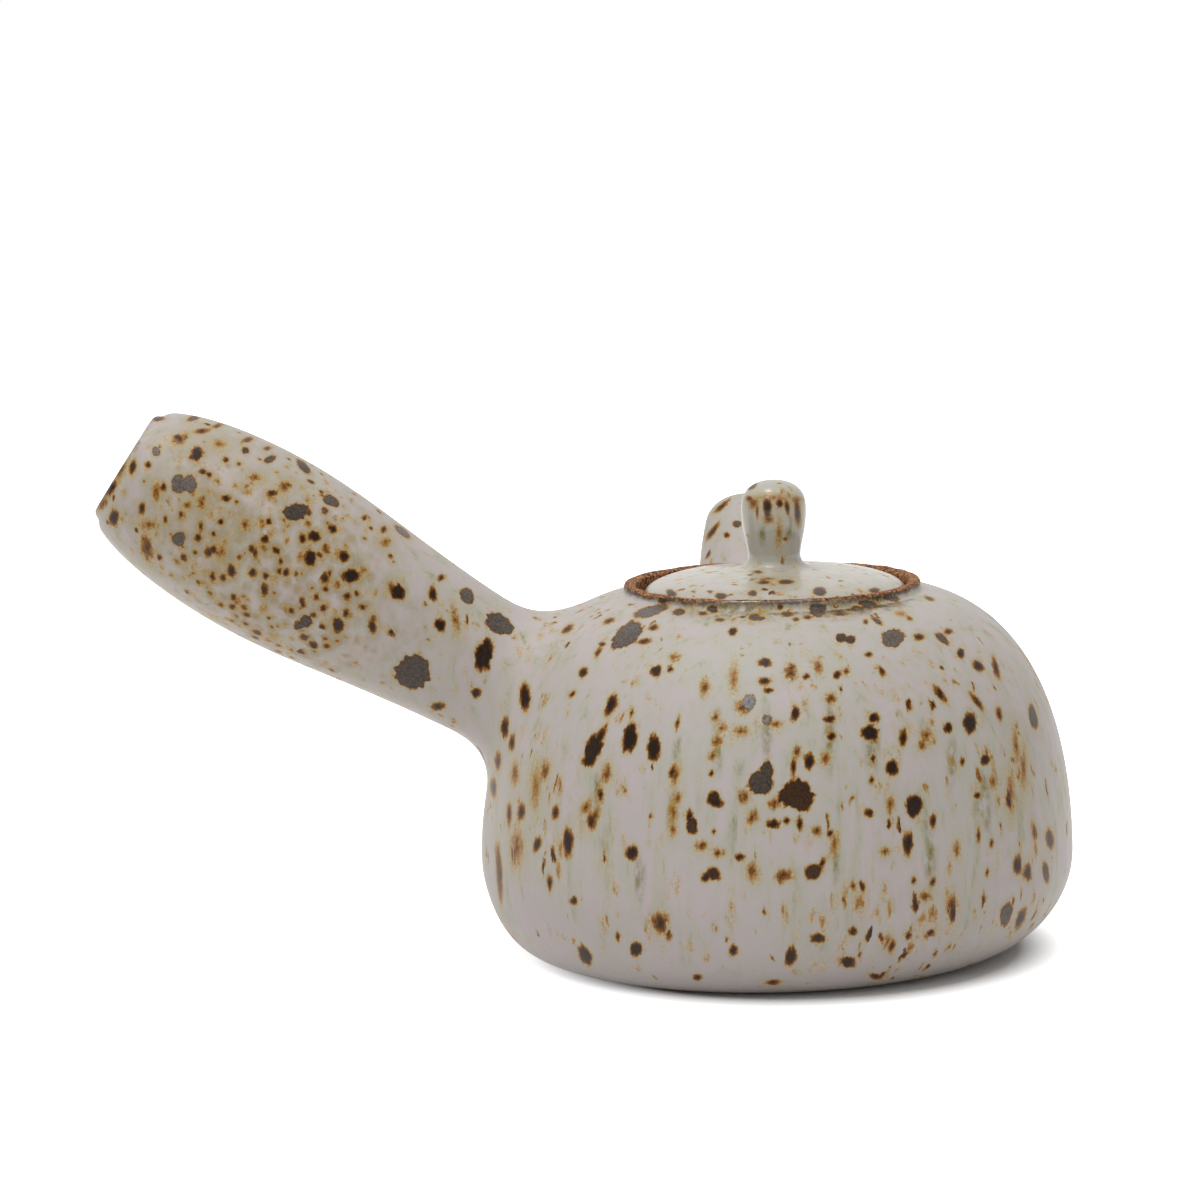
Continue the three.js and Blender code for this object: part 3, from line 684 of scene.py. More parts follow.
leftBlots = dict(
    shoulder=(627, 635, 20, 36, 50, 4), shoulderLong=(651, 611, 10, 36, 72, 4.5),
    rim1=(679, 612, 13, 7, -5, 3.8), rim2=(713, 609, 11, 8, 20, 3.2),
    rim3=(755, 617, 12, 7, 0, 3.8), rim4=(787, 614, 13, 5, 5, 3.8), rim5=(797, 619, 7, 4, 0, 3.6),
    rim6=(703, 613, 9, 4, 0, 3.4), rim7=(662, 600, 10, 7, 0, 2.6), rim8=(719, 620, 9, 4, 0, 3.8),
    rim9=(780, 607, 6, 6, 0, 3), rim10=(762, 619, 8, 4, -15, 3.8),
    slope1=(609, 621, 5, 12, 65, 0.9), slope2=(567, 629, 6, 13, 55, 0.8),
    slope3=(653, 627, 6, 10, 75, 0.8), slope4=(644, 641, 6, 13, 80, 1),
    high1=(656, 671, 11, 13, 30, 1), high2=(670, 668, 6, 7, 0, 0.9),
    high3=(582, 672, 8, 12, 30, 0.9), high4=(573, 693, 5, 8, 40, 0.8),
    high5=(611, 705, 10, 24, 25, 1), trio1=(593, 750, 17, 33, 20, 1.4),
    trio1Tip=(600, 739, 8, 28, 25, 0.9), trio1Toes=(588, 762, 14, 10, 20, 0.8),
    # blue1 and blue2 are drawn pale blue-grey for a painted reflection of the light on glossy iron
    trio2=(630, 738, 15, 30, 8, 1), trio3=(654, 748, 14, 28, 0, 1), blue1=(749, 702, 13, 17, 15, 7),
    blue2=(767, 720, 10, 11, 0, 6), blueLeft=(743, 706, 9, 10, 0, 0.4),
    flame=(761, 783, 26, 22, 8, 2.9), flameTip=(766, 773, 14, 25, 15, 2.8),
    sun=(797, 795, 34, 31, 0, 1.8), sunLow=(804, 806, 13, 12, 20, 1.8),
    sunFoot=(775, 803, 11, 10, 0, 0.6), front1=(714, 798, 13, 15, -10, 1.6),
    frontToes=(716, 803, 16, 10, 15, 1), front2=(692, 826, 11, 19, -5, 2),
    front2Tip=(690, 817, 7, 14, 0, 1), front3=(744, 797, 10, 11, 0, 0.45),
    front4=(765, 662, 14, 9, 0, 0.7), front5=(763, 681, 14, 7, 0, 0.7),
    front6=(791, 672, 11, 14, 0, 0.6), front7=(773, 824, 14, 10, 0, 0.85),
    front8=(788, 822, 7, 8, 0, 0.8), drop1=(568, 842, 10, 30, 0, 0.8),
    drop2=(593, 823, 8, 18, -5, 0.8), drop3=(599, 795, 6, 14, -10, 0.8),
    drop4=(586, 808, 6, 12, 30, 0.6), drop5=(538, 846, 8, 16, 15, 0.8),
    drop6=(632, 853, 12, 17, 0, 0.8), drop7=(714, 874, 15, 13, 20, 1.6),
    drop7Left=(706, 877, 9, 9, 0, 0.9), edge1=(499, 872, 6, 56, -3, 0.9),
    edge2=(494, 787, 6, 20, 0, 0.8), foot1=(549, 883, 6, 16, 0, 0.7),
    foot2=(575, 900, 8, 9, 0, 0.8), foot3=(660, 924, 14, 20, 0, 0.55),
    foot4=(636, 949, 13, 15, 0, 0.8), foot5=(585, 955, 12, 22, -30, 0.7),
    foot6=(619, 936, 5, 10, 0, 0.8), foot7=(735, 949, 9, 13, 0, 1), foot8=(696, 977, 9, 7, 0, 0.7),
    foot9=(773, 982, 15, 5, 0, 0.9), fork=(525, 697, 11, 28, 0, 1),
    forkBelow=(506, 727, 8, 20, 5, 0.8), forkFar=(515, 773, 5, 16, 0, 0.6),
    pale1=(753, 870, 8, 14, 0, 0.4), pale2=(534, 788, 5, 22, 0, 0.4),
    pale3=(516, 850, 8, 26, 0, 0.4), pale4=(674, 775, 5, 14, 15, 0.5),
    small1=(733, 632, 9, 9, -20, 0.9), small2=(735, 677, 5, 16, 0, 0.45),
    small3=(705, 688, 7, 14, 0, 0.6), small4=(678, 723, 4, 13, 10, 0.8),
    small5=(673, 771, 6, 13, 10, 0.8), small6=(797, 752, 7, 8, 0, 0.5),
    small7=(795, 767, 6, 20, 5, 0.7), small8=(702, 847, 9, 8, 0, 0.5),
    small9=(718, 852, 9, 7, 0, 0.55), small10=(738, 858, 11, 8, 20, 0.65),
    small11=(752, 818, 8, 12, 20, 0.5), small12=(800, 823, 7, 15, -10, 0.9),
    small13=(817, 830, 8, 8, 0, 0.55), small14=(769, 690, 10, 6, 0, 0.7),
    small15=(740, 732, 9, 7, 0, 0.35), small16=(602, 643, 6, 6, 0, 0.8),
    small17=(597, 653, 5, 11, 30, 0.9), small18=(605, 774, 8, 14, 10, 0.5),
    small19=(675, 657, 7, 6, 0, 0.5), small20=(778, 723, 9, 5, 0, 0.6),
    small21=(632, 712, 4, 12, 0, 0.9), small22=(847, 672, 6, 6, 0, 0.6),
    small23=(714, 832, 4, 6, 0, 1), run1=(716, 716, 6, 8, 0, 0.6), run2=(722, 729, 6, 7, 0, 0.5),
    run3=(717, 741, 8, 9, 0, 0.5), run4=(713, 754, 6, 7, 0, 0.6), run5=(713, 772, 5, 8, 0, 0.9),
    run6=(677, 798, 6, 8, 0, 0.6), run7=(672, 812, 6, 13, 0, 0.5), run8=(673, 829, 5, 9, 0, 0.5),
    run9=(830, 700, 9, 9, 0, 0.5), run10=(826, 757, 7, 9, 0, 0.45),
    run11=(834, 845, 5, 14, 10, 0.5), run12=(595, 815, 5, 14, 15, 0.5),
    side1=(512, 742, 6, 16, 5, 0.8), side2=(498, 760, 6, 18, 0, 0.7),
    side3=(522, 812, 7, 18, 5, 0.7), side4=(546, 770, 7, 16, 10, 0.6),
    side5=(508, 815, 5, 20, 0, 0.8), side6=(555, 812, 7, 14, 5, 0.7),
)
rightBlots = dict(
    shoulder=(893, 638, 24, 18, -20, 4.2), shoulderPair=(841, 638, 11, 10, 0, 2.4),
    shoulderPair2=(850, 639, 11, 9, 0, 2.4), shoulderDot=(918, 636, 12, 7, 0, 1),
    slope1=(942, 638, 7, 18, -50, 3.5), slope2=(948, 632, 9, 6, 0, 0.8),
    slope3=(876, 620, 13, 5, 35, 3.6), slope3Dot=(866, 622, 5, 5, 0, 0.9),
    slope7=(929, 598, 10, 4, 20, 3.2), slope8=(910, 619, 6, 4, 25, 0.9),
    slope9=(901, 613, 6, 3, 10, 0.6), slope4=(960, 654, 8, 10, -15, 1),
    slope5=(979, 667, 9, 14, -45, 1), slope6=(996, 668, 6, 22, -15, 1),
    high1=(883, 671, 6, 11, -25, 0.9), high2=(869, 653, 7, 6, 0, 0.8),
    high3=(837, 676, 8, 9, 0, 0.9), high4=(817, 668, 6, 11, -20, 0.6),
    high5=(808, 678, 7, 6, 0, 0.7), high6=(939, 694, 7, 22, -35, 0.9),
    high7=(976, 703, 6, 22, -35, 0.9), high8=(970, 723, 13, 22, 0, 1),
    high9=(998, 713, 6, 14, -10, 0.9), edge1=(1034, 717, 8, 26, -12, 3),
    front1=(795, 713, 9, 17, 10, 0.8), front2=(831, 718, 13, 8, 0, 0.8),
    front3=(830, 735, 9, 9, 0, 0.7), front4=(874, 718, 12, 10, -10, 0.8),
    front5=(870, 733, 18, 16, 20, 0.9), front6=(903, 738, 8, 20, 5, 0.9),
    front7=(948, 728, 10, 11, 0, 1), front8=(928, 733, 10, 9, 0, 0.5),
    front9=(809, 761, 10, 17, 0, 0.9), middle1=(892, 768, 14, 16, 0, 1),
    middle2=(985, 760, 10, 12, 0, 1), middle3=(962, 761, 5, 9, 0, 0.7),
    middle4=(914, 806, 18, 22, 0, 1), middle5=(869, 813, 10, 10, 0, 0.8),
    middle6=(935, 822, 7, 15, 0, 0.8), middle7=(978, 797, 8, 7, 0, 0.7),
    middle8=(908, 844, 10, 26, 0, 0.9), middle9=(813, 872, 18, 16, 0, 1.8),
    middle9Tip=(823, 862, 6, 14, 20, 0.9), edge2=(979, 835, 4, 16, 0, 0.7),
    edge3=(1033, 830, 5, 18, -10, 0.8), edge4=(1051, 840, 8, 20, -5, 1),
    edge5=(1016, 864, 9, 20, 0, 1), edge6=(1027, 873, 8, 18, 0, 1),
    edge7=(1046, 873, 7, 22, -10, 2.5), small1=(922, 745, 8, 8, 0, 0.5),
    small2=(871, 781, 5, 9, 0, 0.9), small3=(890, 805, 6, 12, 0, 0.5),
    small4=(932, 882, 5, 10, 20, 0.9), small5=(915, 880, 5, 8, 0, 0.8),
    small6=(950, 903, 8, 16, 10, 0.6), small7=(993, 843, 4, 9, 0, 0.8),
    small8=(987, 872, 4, 8, 0, 0.7), small9=(832, 835, 6, 7, 0, 0.9),
    small10=(874, 758, 5, 8, 0, 0.8), small11=(1015, 745, 4, 22, -5, 0.6),
    small12=(1010, 790, 4, 24, 0, 0.5), small13=(1024, 770, 4, 26, 0, 0.6),
    small14=(885, 852, 7, 7, 0, 0.5), small15=(992, 780, 6, 10, 0, 0.5),
    small16=(852, 887, 6, 7, 0, 0.6), small17=(958, 850, 5, 12, 0, 0.6),
    foot1=(784, 876, 16, 12, 0, 0.6), foot2=(926, 897, 10, 8, 0, 0.6),
    foot3=(1006, 914, 12, 24, 15, 3.4), foot4=(1021, 917, 8, 24, 20, 1),
    foot5=(853, 932, 9, 10, 0, 1), foot6=(818, 938, 17, 10, 0, 0.7),
    foot7=(791, 956, 12, 20, 10, 1), foot8=(908, 937, 7, 9, 0, 0.9), foot9=(930, 934, 9, 8, 0, 0.9),
    base1=(848, 962, 17, 11, 15, 1), base2=(877, 976, 13, 6, 10, 0.9),
    base3=(891, 947, 6, 14, 20, 0.8), rim1=(818, 608, 18, 18, 0, 4),
    rim2=(890, 597, 18, 9, 20, 4.2), rim3=(868, 604, 20, 8, 12, 3.4), rim4=(905, 589, 9, 7, 30, 3),
    rim5=(914, 584, 8, 5, 30, 3), rim6=(857, 609, 13, 6, 5, 3), rim7=(840, 614, 16, 4, 0, 2.6),
    rim8=(808, 617, 9, 4, 0, 2.4),
)
spoutBlots = dict(
    side=(737, 523, 9, 7, 0, 3), streak=(712, 532, 6, 20, 35, 1), top=(722, 506, 5, 18, 50, 0.8),
    dot=(727, 536, 6, 6, 0, 0.8),
)
lidBlots = dict(
    front1=(721, 595, 12, 7, 0, 2.2), front2=(753, 594, 10, 6, 0, 2.2),
    front3=(819, 592, 14, 9, 0, 2.4), front4=(875, 590, 11, 6, 0, 2.2),
    left=(672, 594, 12, 7, 20, 2.4), middle1=(765, 583, 13, 4, 0, 2.2),
    middle2=(785, 582, 16, 5, 0, 2.4), middle3=(758, 572, 9, 3, 0, 2),
    middle4=(769, 579, 11, 2, 0, 1), knob1=(767, 507, 9, 21, 0, 1),
    knob1Low=(768, 520, 8, 8, 0, 0.6), knob2=(780, 503, 7, 9, 0, 1),
    knob3=(787, 508, 5, 14, -10, 0.9), knob4=(798, 513, 6, 28, -5, 1),
    knob5=(753, 503, 7, 9, 0, 0.5), knobTop=(752, 486, 6, 12, 60, 3.4),
    ringLeft=(749, 499, 7, 5, 0, 0.8), ringMiddle=(774, 497, 14, 3, 0, 0.4),
    ringRight=(797, 499, 7, 5, 0, 0.6), drip1=(757, 511, 3, 12, 0, 0.7),
    drip2=(779, 532, 3, 14, 0, 0.5), drip3=(785, 538, 4, 4, 0, 1),
)

# Runs of thick green-grey glaze, in the same pixels: across, down, width, height and lean
frontRuns = dict(
    first=(718, 742, 13, 84, 0), second=(672, 812, 13, 60, 4), third=(767, 732, 14, 66, 0),
    fourth=(830, 735, 15, 100, 0), fifth=(597, 790, 14, 56, 8), sixth=(676, 752, 9, 40, 8),
    seventh=(872, 745, 20, 70, 0), eighth=(952, 760, 12, 70, 0), ninth=(985, 800, 14, 90, -5),
    tenth=(836, 860, 10, 60, 0), eleventh=(640, 880, 14, 60, 0), twelfth=(930, 860, 14, 80, 0),
    rimLeft=(735, 610, 150, 32, 0), rimRight=(850, 607, 110, 30, -8),
)
lidRuns = dict(
    knob=(790, 530, 12, 40, 0), knobLeft=(762, 535, 10, 30, 0),
)

# Where small spots crowd together or keep away: across, down, width, height, lean and how strongly
frontCrowds = dict(
    handleEnd=(205, 510, 260, 260, 0, 1.1), handleMiddle=(310, 585, 280, 240, 0, 1.4),
    # handleLow adds spots and tan haze along the handle's underside, partly as painted shade there
    handleLow=(300, 650, 330, 100, 31, 0.6), handleNeck=(440, 640, 190, 130, 0, 0.4),
    left=(545, 800, 190, 260, 0, 0.6), low=(680, 930, 200, 130, 0, 0.5),
    shoulderRight=(960, 690, 200, 170, 0, 0.6), middleRight=(900, 780, 170, 170, 0, 0.4),
    lowRight=(910, 920, 330, 160, 0, 1.2), edgeRight=(1035, 800, 130, 340, 0, 1.2),
    underRim=(760, 612, 260, 36, 0, 0.8), clearFront=(720, 680, 160, 120, 0, -0.9),
    clearMiddle=(700, 770, 150, 120, 0, -0.4), clearNeck=(470, 560, 150, 60, 30, -0.8),
)
lidCrowds = dict(
    front=(740, 592, 160, 30, 0, 0.3), whole=(773, 582, 330, 66, 0, 0.9),
    knobRing=(773, 500, 90, 20, 0, 0.6), knobClear=(773, 545, 60, 50, 0, -1.6),
)

# How a placed spot is drawn. Its outline wavers by a share of its size in so many lobes. Its depth
# grows inwards by a slope, in mm of iron per mm, up to a most: slow for faint ochre, fastest for grey.
# One with a half width under nearest sits on a point of its own, and a wide one tears more
blotForm = dict(
    lobes=(2, 3, 5, 8, 13), waver=(0.05, 0.06, 0.03, 0.05, 0.05), faint=0.65, grey=2,
    slope=1.4, greySlope=2.0, most=1.4, nearest=0.8, margin=3.0, fullTear=1.5, leastTear=0.25,
    runStrength=1.5, turnsAway=6,  # placed spots end where the side turns from the camera
)


def leaned(away, width, height, lean):
    # offsets in pixels as shares of half the width and half the height of a leaning ellipse
    tip = math.radians(lean)
    u = (away[:, 0] * math.cos(tip) + away[:, 1] * math.sin(tip)) / width * 2
    v = (away[:, 1] * math.cos(tip) - away[:, 0] * math.sin(tip)) / height * 2
    return u, v


def ellipseDepth(pixels, x, y, width, height, lean):
    # 1 in the middle of a leaning ellipse, 0 at its edge
    return np.clip(1 - np.hypot(*leaned(pixels - [x, y], width, height, lean)), 0, 1)


def stampBlots(piece, runs, crowds, *groups):
    # writes on the piece's own points how deep each lies inside a blot, in mm, how grey that pools,
    # the palest grey being partly a painted reflection, and how torn its edge is, how far the point
    # lies inside a run, how spots crowd there, and where blots are placed, so that chance ones keep to
    # the other sides
    f, data = blotForm, piece.data
    camera = bpy.context.scene.camera.matrix_world
    scale, middle = viewForm["pixelsPerMm"], viewForm["frameWidth"] / 2
    points, normals = np.empty((2, len(data.vertices), 3))
    data.vertices.foreach_get("co", points.reshape(-1))
    data.vertices.foreach_get("normal", normals.reshape(-1))
    toEye = np.array(camera.translation) - points
    facing = (normals * toEye).sum(1) / np.linalg.norm(toEye, axis=1)
    seen = -toEye @ np.array(camera.to_3x3())
    pixels = middle + seen[:, :2] / -seen[:, 2:] * [1, -1] * viewForm["distance"] * scale
    tree = BVHTree.FromObject(piece, bpy.context.evaluated_depsgraph_get())
    iron, poolAndSheen, torn = np.full(len(points), -farOff), np.zeros(len(points)), np.zeros(len(points))
    shape = np.random.default_rng(7)
    for x, y, width, height, lean, strength in (blot for group in groups for blot in group.values()):
        ray = Vector(((x - middle) / scale, (middle - y) / scale, -viewForm["distance"])).normalized()
        hit = tree.ray_cast(camera.translation, camera.to_3x3() @ ray)[0]
        bumps = shape.uniform(-1, 1, (2, len(f["lobes"]))) * f["waver"]
        if hit is None:
            continue
        reach = max(width, height) / scale + f["margin"]
        near = np.linalg.norm(points - np.array(hit), axis=1) < reach * mm
        near = np.flatnonzero(near & (facing > 0))
        half = min(width, height) / 2 / scale
        away = pixels[near] - [x, y]
        if half < f["nearest"]:
            away -= away[np.argmin(np.hypot(*away.T))]
        u, v = leaned(away, width, height, lean)
        turn = np.arctan2(v, u)
        outline = 1 + sum(c * np.cos(k * turn) + s * np.sin(k * turn)
                          for k, c, s in zip(f["lobes"], *bumps))
        slope = f["slope"] if strength < f["grey"] else f["greySlope"]
        slope = strength if strength < f["faint"] else slope
        inside = np.minimum((1 - np.hypot(u, v) / outline) * half * slope, f["most"])
        deeper = inside > iron[near]
        iron[near[deeper]] = inside[deeper]
        poolAndSheen[near[deeper]] = strength
        torn[near[deeper]] = min(max(half / f["fullTear"], f["leastTear"]), 1)
    run = sum(ellipseDepth(pixels, *spot) for spot in runs.values()) * f["runStrength"] * (facing > 0)
    crowd = sum(ellipseDepth(pixels, *spot[:5]) * spot[5] for spot in crowds.values()) * (facing > 0)
    values = dict(iron=iron, poolAndSheen=poolAndSheen, torn=torn, run=np.clip(run, 0, 1), crowd=np.clip(crowd, -1, 1),
                  placed=np.clip(facing * f["turnsAway"], 0, 1))
    for name, value in values.items():
        data.attributes.new(name, "FLOAT", "POINT").data.foreach_set("value", value)
    print(piece.name, "has", sum(len(group) for group in groups), "placed spots")


def addGround(add, f, place, pattern, depth):
    # the glaze before the iron comes through: pink and grey clouds, green runs, and a darker mauve near
    # the foot that is painted shade
    cloud = add("MapRange", {"Value": pattern["cloud"], "From Min": 0.38, "From Max": 0.62})
    ground = add("Mix", {0: cloud, 6: f["pink"], 7: f["grey"]}, data_type="RGBA")
    drawn = add("VectorMath", {0: place, 1: (1, 1, f["streakDrawn"])}, operation="MULTIPLY")
    streak = add("TexNoise", {"Vector": drawn, "Scale": 1 / f["streakSize"], "Detail": 4.0,
                              "Roughness": 0.6, "Distortion": 0.4})
    trails = add("MapRange", {"Value": streak, "From Min": 0.47, "From Max": 0.62,
                              "To Max": f["streak"]})
    near = add("MapRange", {"Value": depth, "From Min": -1.15, "From Max": -0.3, "To Max": 0.7})
    green = add("Math", {0: trails, 1: near}, operation="MAXIMUM")

    # where the glaze ran thick: placed runs in front, chance ones elsewhere
    runs = add("Attribute", attribute_name="run").outputs["Fac"]
    chance = add("MapRange", {"Value": streak, "From Min": 0.6, "From Max": 0.72, "To Max": 0.6})
    runs = add("Math", {0: runs, 1: chance}, operation="MAXIMUM")
    curd = add("VectorMath", {0: place, 1: (1, 1, f["curdDrawn"])}, operation="MULTIPLY")
    curd = add("TexNoise", {"Vector": curd, "Scale": 1 / f["curdSize"], "Detail": 4.0,
                            "Roughness": 0.65})
    curd = add("MapRange", {"Value": curd, "From Min": 0.36, "From Max": 0.62})
    runs = add("Math", {0: runs, 1: curd}, operation="MULTIPLY")

    # a tan haze round the spots and where they crowd, less of it on the body than on the handle
    crowd = add("Attribute", attribute_name="crowd").outputs["Fac"]
    tan = add("MapRange", {"Value": pattern["haze"], "From Min": 0.42, "From Max": 0.7,
                           "To Max": 0.4})
    wide = add("MapRange", {"Value": depth, "From Min": -1.7, "From Max": -0.2, "To Max": 0.55})
    tan = add("Math", {0: wide, 1: tan})
    tan = add("Math", {0: tan, 1: crowd, 2: 0.08}, operation="MULTIPLY_ADD")
    sides = add("SeparateXYZ", {0: place})
    onHandle = add("MapRange", {"Value": sides.outputs["X"], "From Min": f["handleFrom"],
                                "From Max": f["handleTo"], "To Min": 0.35})
    tan = add("Math", {0: tan, 1: onHandle}, operation="MULTIPLY", use_clamp=True)
    # painted shade: the ground darkens to mauve towards the foot, by height alone
    low = add("MapRange", {"Value": sides.outputs["Z"], "From Min": f["footShadeFrom"],
                           "From Max": f["footShadeTo"], "To Max": 0.6})
    for share, colour in ((green, "green"), (runs, "moss"), (tan, "tan"), (low, "footShadeMauve")):
        ground = add("Mix", {0: share, 6: ground, 7: f[colour]}, data_type="RGBA")
    return ground


def addSpots(add, f, place, pattern):
    # how deep each point lies inside a spot of iron, in mm, negative outside; and the same without
    # the soft ochre marks, which draw no green halo. The glaze ran down the body and hardly along
    # the handle, so its spots are drawn out by less
    sides = add("SeparateXYZ", {0: place})
    x, y, z = sides.outputs
    alongHandle = {"Value": x, "From Min": f["handleFrom"], "From Max": f["handleTo"]}
    slack = add("MapRange", {**alongHandle, "To Min": f["run"], "To Max": f["handleRun"]})
    level = add("Math", {0: z, 1: f["runFrom"]}, operation="SUBTRACT")
    level = add("Math", {0: level, 1: slack}, operation="MULTIPLY")
    run = add("CombineXYZ", {"X": x, "Y": y, "Z": level})
    bend = add("TexNoise", {"Vector": run, "Scale": 1 / f["bendSize"], "Detail": 3.0,
                            "Roughness": 0.6})
    bend = add("VectorMath", {0: bend.outputs["Color"], 1: (0.5, 0.5, 0.5)}, operation="SUBTRACT")
    sway = add("MapRange", {**alongHandle, "To Min": f["sway"], "To Max": f["handleSway"]})
    bent = add("VectorMath", {0: bend, "Scale": sway}, operation="SCALE")
    bent = add("VectorMath", {0: bent, 1: run})

    # chance spots gather in patches, and where the photograph shows them crowd
    patch = add("MapRange", {"Value": pattern["patch"], "From Min": 0.3, "From Max": 0.7,
                             "To Min": -f["cluster"] / 2, "To Max": f["cluster"] / 2})
    crowd = add("Attribute", attribute_name="crowd").outputs["Fac"]
    patch = add("Math", {0: crowd, 1: f["crowd"], 2: patch}, operation="MULTIPLY_ADD")

    # placed spots, their edges torn by the glaze's flow
    torn = add("VectorMath", {0: run, 1: (1, 1, f["tearDrawn"])}, operation="MULTIPLY")
    tear = add("TexNoise", {"Vector": torn, "Scale": 1 / f["tearSize"], "Detail": 3.0,
                            "Roughness": 0.6})
    tear = add("Math", {0: tear, 1: 0.5}, operation="SUBTRACT")
    depth = add("Attribute", attribute_name="iron").outputs["Fac"]
    torn = add("Attribute", attribute_name="torn").outputs["Fac"]
    torn = add("Math", {0: torn, 1: f["ragged"]}, operation="MULTIPLY")
    depth = add("Math", {0: tear, 1: torn, 2: depth}, operation="MULTIPLY_ADD")
    halo = depth

    # chance spots, one or none in each cell of a layer
    placed = add("Attribute", attribute_name="placed").outputs["Fac"]
    for layer in f["layers"]:
        shifted = add("VectorMath", {0: bent, 1: (layer["shift"], 0, 0)})
        cells = add("TexVoronoi", {"Vector": shifted, "Scale": 1 / layer["cell"]})
        chance = add("SeparateColor", {0: cells.outputs["Color"]})
        growth = add("Math", {0: chance.outputs["Green"], 1: f["fewLarge"]}, operation="POWER")
        radius = add("Math", {0: growth, 1: layer["most"] - layer["least"], 2: layer["least"]},
                     operation="MULTIPLY_ADD")
        empty = add("Math", {0: chance.outputs["Red"], 1: layer["share"]}, operation="GREATER_THAN")
        radius = add("Math", {0: empty, 1: -farOff, 2: radius}, operation="MULTIPLY_ADD")
        radius = add("Math", {0: placed, 1: -layer["yields"], 2: radius}, operation="MULTIPLY_ADD")
        radius = add("Math", {0: radius, 1: patch})
        inside = add("Math", {0: cells, 1: -layer["cell"], 2: radius}, operation="MULTIPLY_ADD")
        inside = add("Math", {0: inside, 1: layer["iron"], 2: layer["lift"]},
                     operation="MULTIPLY_ADD")
        inside = add("Math", {0: tear, 1: layer["ragged"], 2: inside}, operation="MULTIPLY_ADD")
        depth = add("Math", {0: depth, 1: inside}, operation="MAXIMUM")
        halo = halo if layer["lift"] else depth
    return depth, halo


# Iron through the glaze by its depth in mm: nothing, an ochre edge, amber, brown, then grey-brown
# where it pools matt. The pools are told apart by how much iron a placed spot holds; their grey grows
# paler and bluer with it, partly matt iron and partly a painted reflection of the light above
ironForm = dict(
    stops=[(-0.5, "#BDA878", 0.0), (-0.22, "#B39556", 0.4), (-0.03, "#9F732D", 0.85),
           (0.14, "#7E4F19", 1.0), (0.38, "#462608", 1.0), (0.65, "#231204", 1.0),
           (1.3, "#1E1105", 1.0), (2.4, "#423831", 1.0)],
    least=-0.5, most=3.0,
    poolAndSheenStops=[(1.0, "#1E1105", 0.0), (1.8, "#38220F", 1.0), (2.8, "#433931", 1.0), (4.0, "#564C44", 1.0),
           (5.0, "#6B635B", 1.0), (7.0, "#7B7979", 1.0)],
    palest=7.0,
)


def addIron(add, pattern, depth):
    # the stain's ramp, whose alpha says how much of it covers the ground, and its flecked colour
    k = ironForm
    span = k["most"] - k["least"]
    level = add("MapRange", {"Value": depth, "From Min": k["least"], "From Max": k["most"]})
    stain = add("ValToRGB", {"Fac": level},
                stops=[((d - k["least"]) / span, c, a) for d, c, a in k["stops"]])
    # painted reflection in part: the palest pools stand for the light's sheen on glossy iron as well as
    # for matt iron
    grey = add("Attribute", attribute_name="poolAndSheen").outputs["Fac"]
    poolAndSheen = add("MapRange", {"Value": grey, "From Max": k["palest"]})
    poolAndSheen = add("ValToRGB", {"Fac": poolAndSheen}, stops=[(d / k["palest"], c, a) for d, c, a in k["poolAndSheenStops"]])
    pooled = add("Math", {0: grey, 1: 0.05, 2: depth}, operation="MULTIPLY_ADD")
    pooled = add("MapRange", {"Value": pooled, "From Min": 0.35, "From Max": 0.65})
    pooled = add("Math", {0: pooled, 1: poolAndSheen.outputs["Alpha"]}, operation="MULTIPLY")
    stained = add("Mix", {0: pooled, 6: stain, 7: poolAndSheen}, data_type="RGBA")
    fleck = add("MapRange", {"Value": pattern["fleck"], "From Min": 0.32, "From Max": 0.68,
                             "To Min": 0.4, "To Max": 1.8})
    return stain, add("VectorMath", {0: stained, "Scale": fleck}, operation="SCALE")


# Unglazed iron stoneware, scraped before firing: rough, open and orange-brown, darker in its pits.
rawClay = dict(
    roughness=0.6, gritSize=0.58824, pits=0.6, pitDepth=0.5,
    stops=[(0.39, "#20150E"), (0.6, "#DDA067"), (0.49, "#8F552C")],
    thinStops=[(0.36, "#23180F"), (0.64, "#9C8150"), (0.5, "#54422F")],  # glaze thinned at its edge
)


def addClay(add, place):
    # the grit's height, and the clay's colour by it
    grit = add("TexNoise", {"Vector": place, "Scale": 1 / rawClay["gritSize"], "Detail": 5.0,
                            "Roughness": 0.7})
    return grit, add("ValToRGB", {"Fac": grit}, stops=rawClay["stops"])


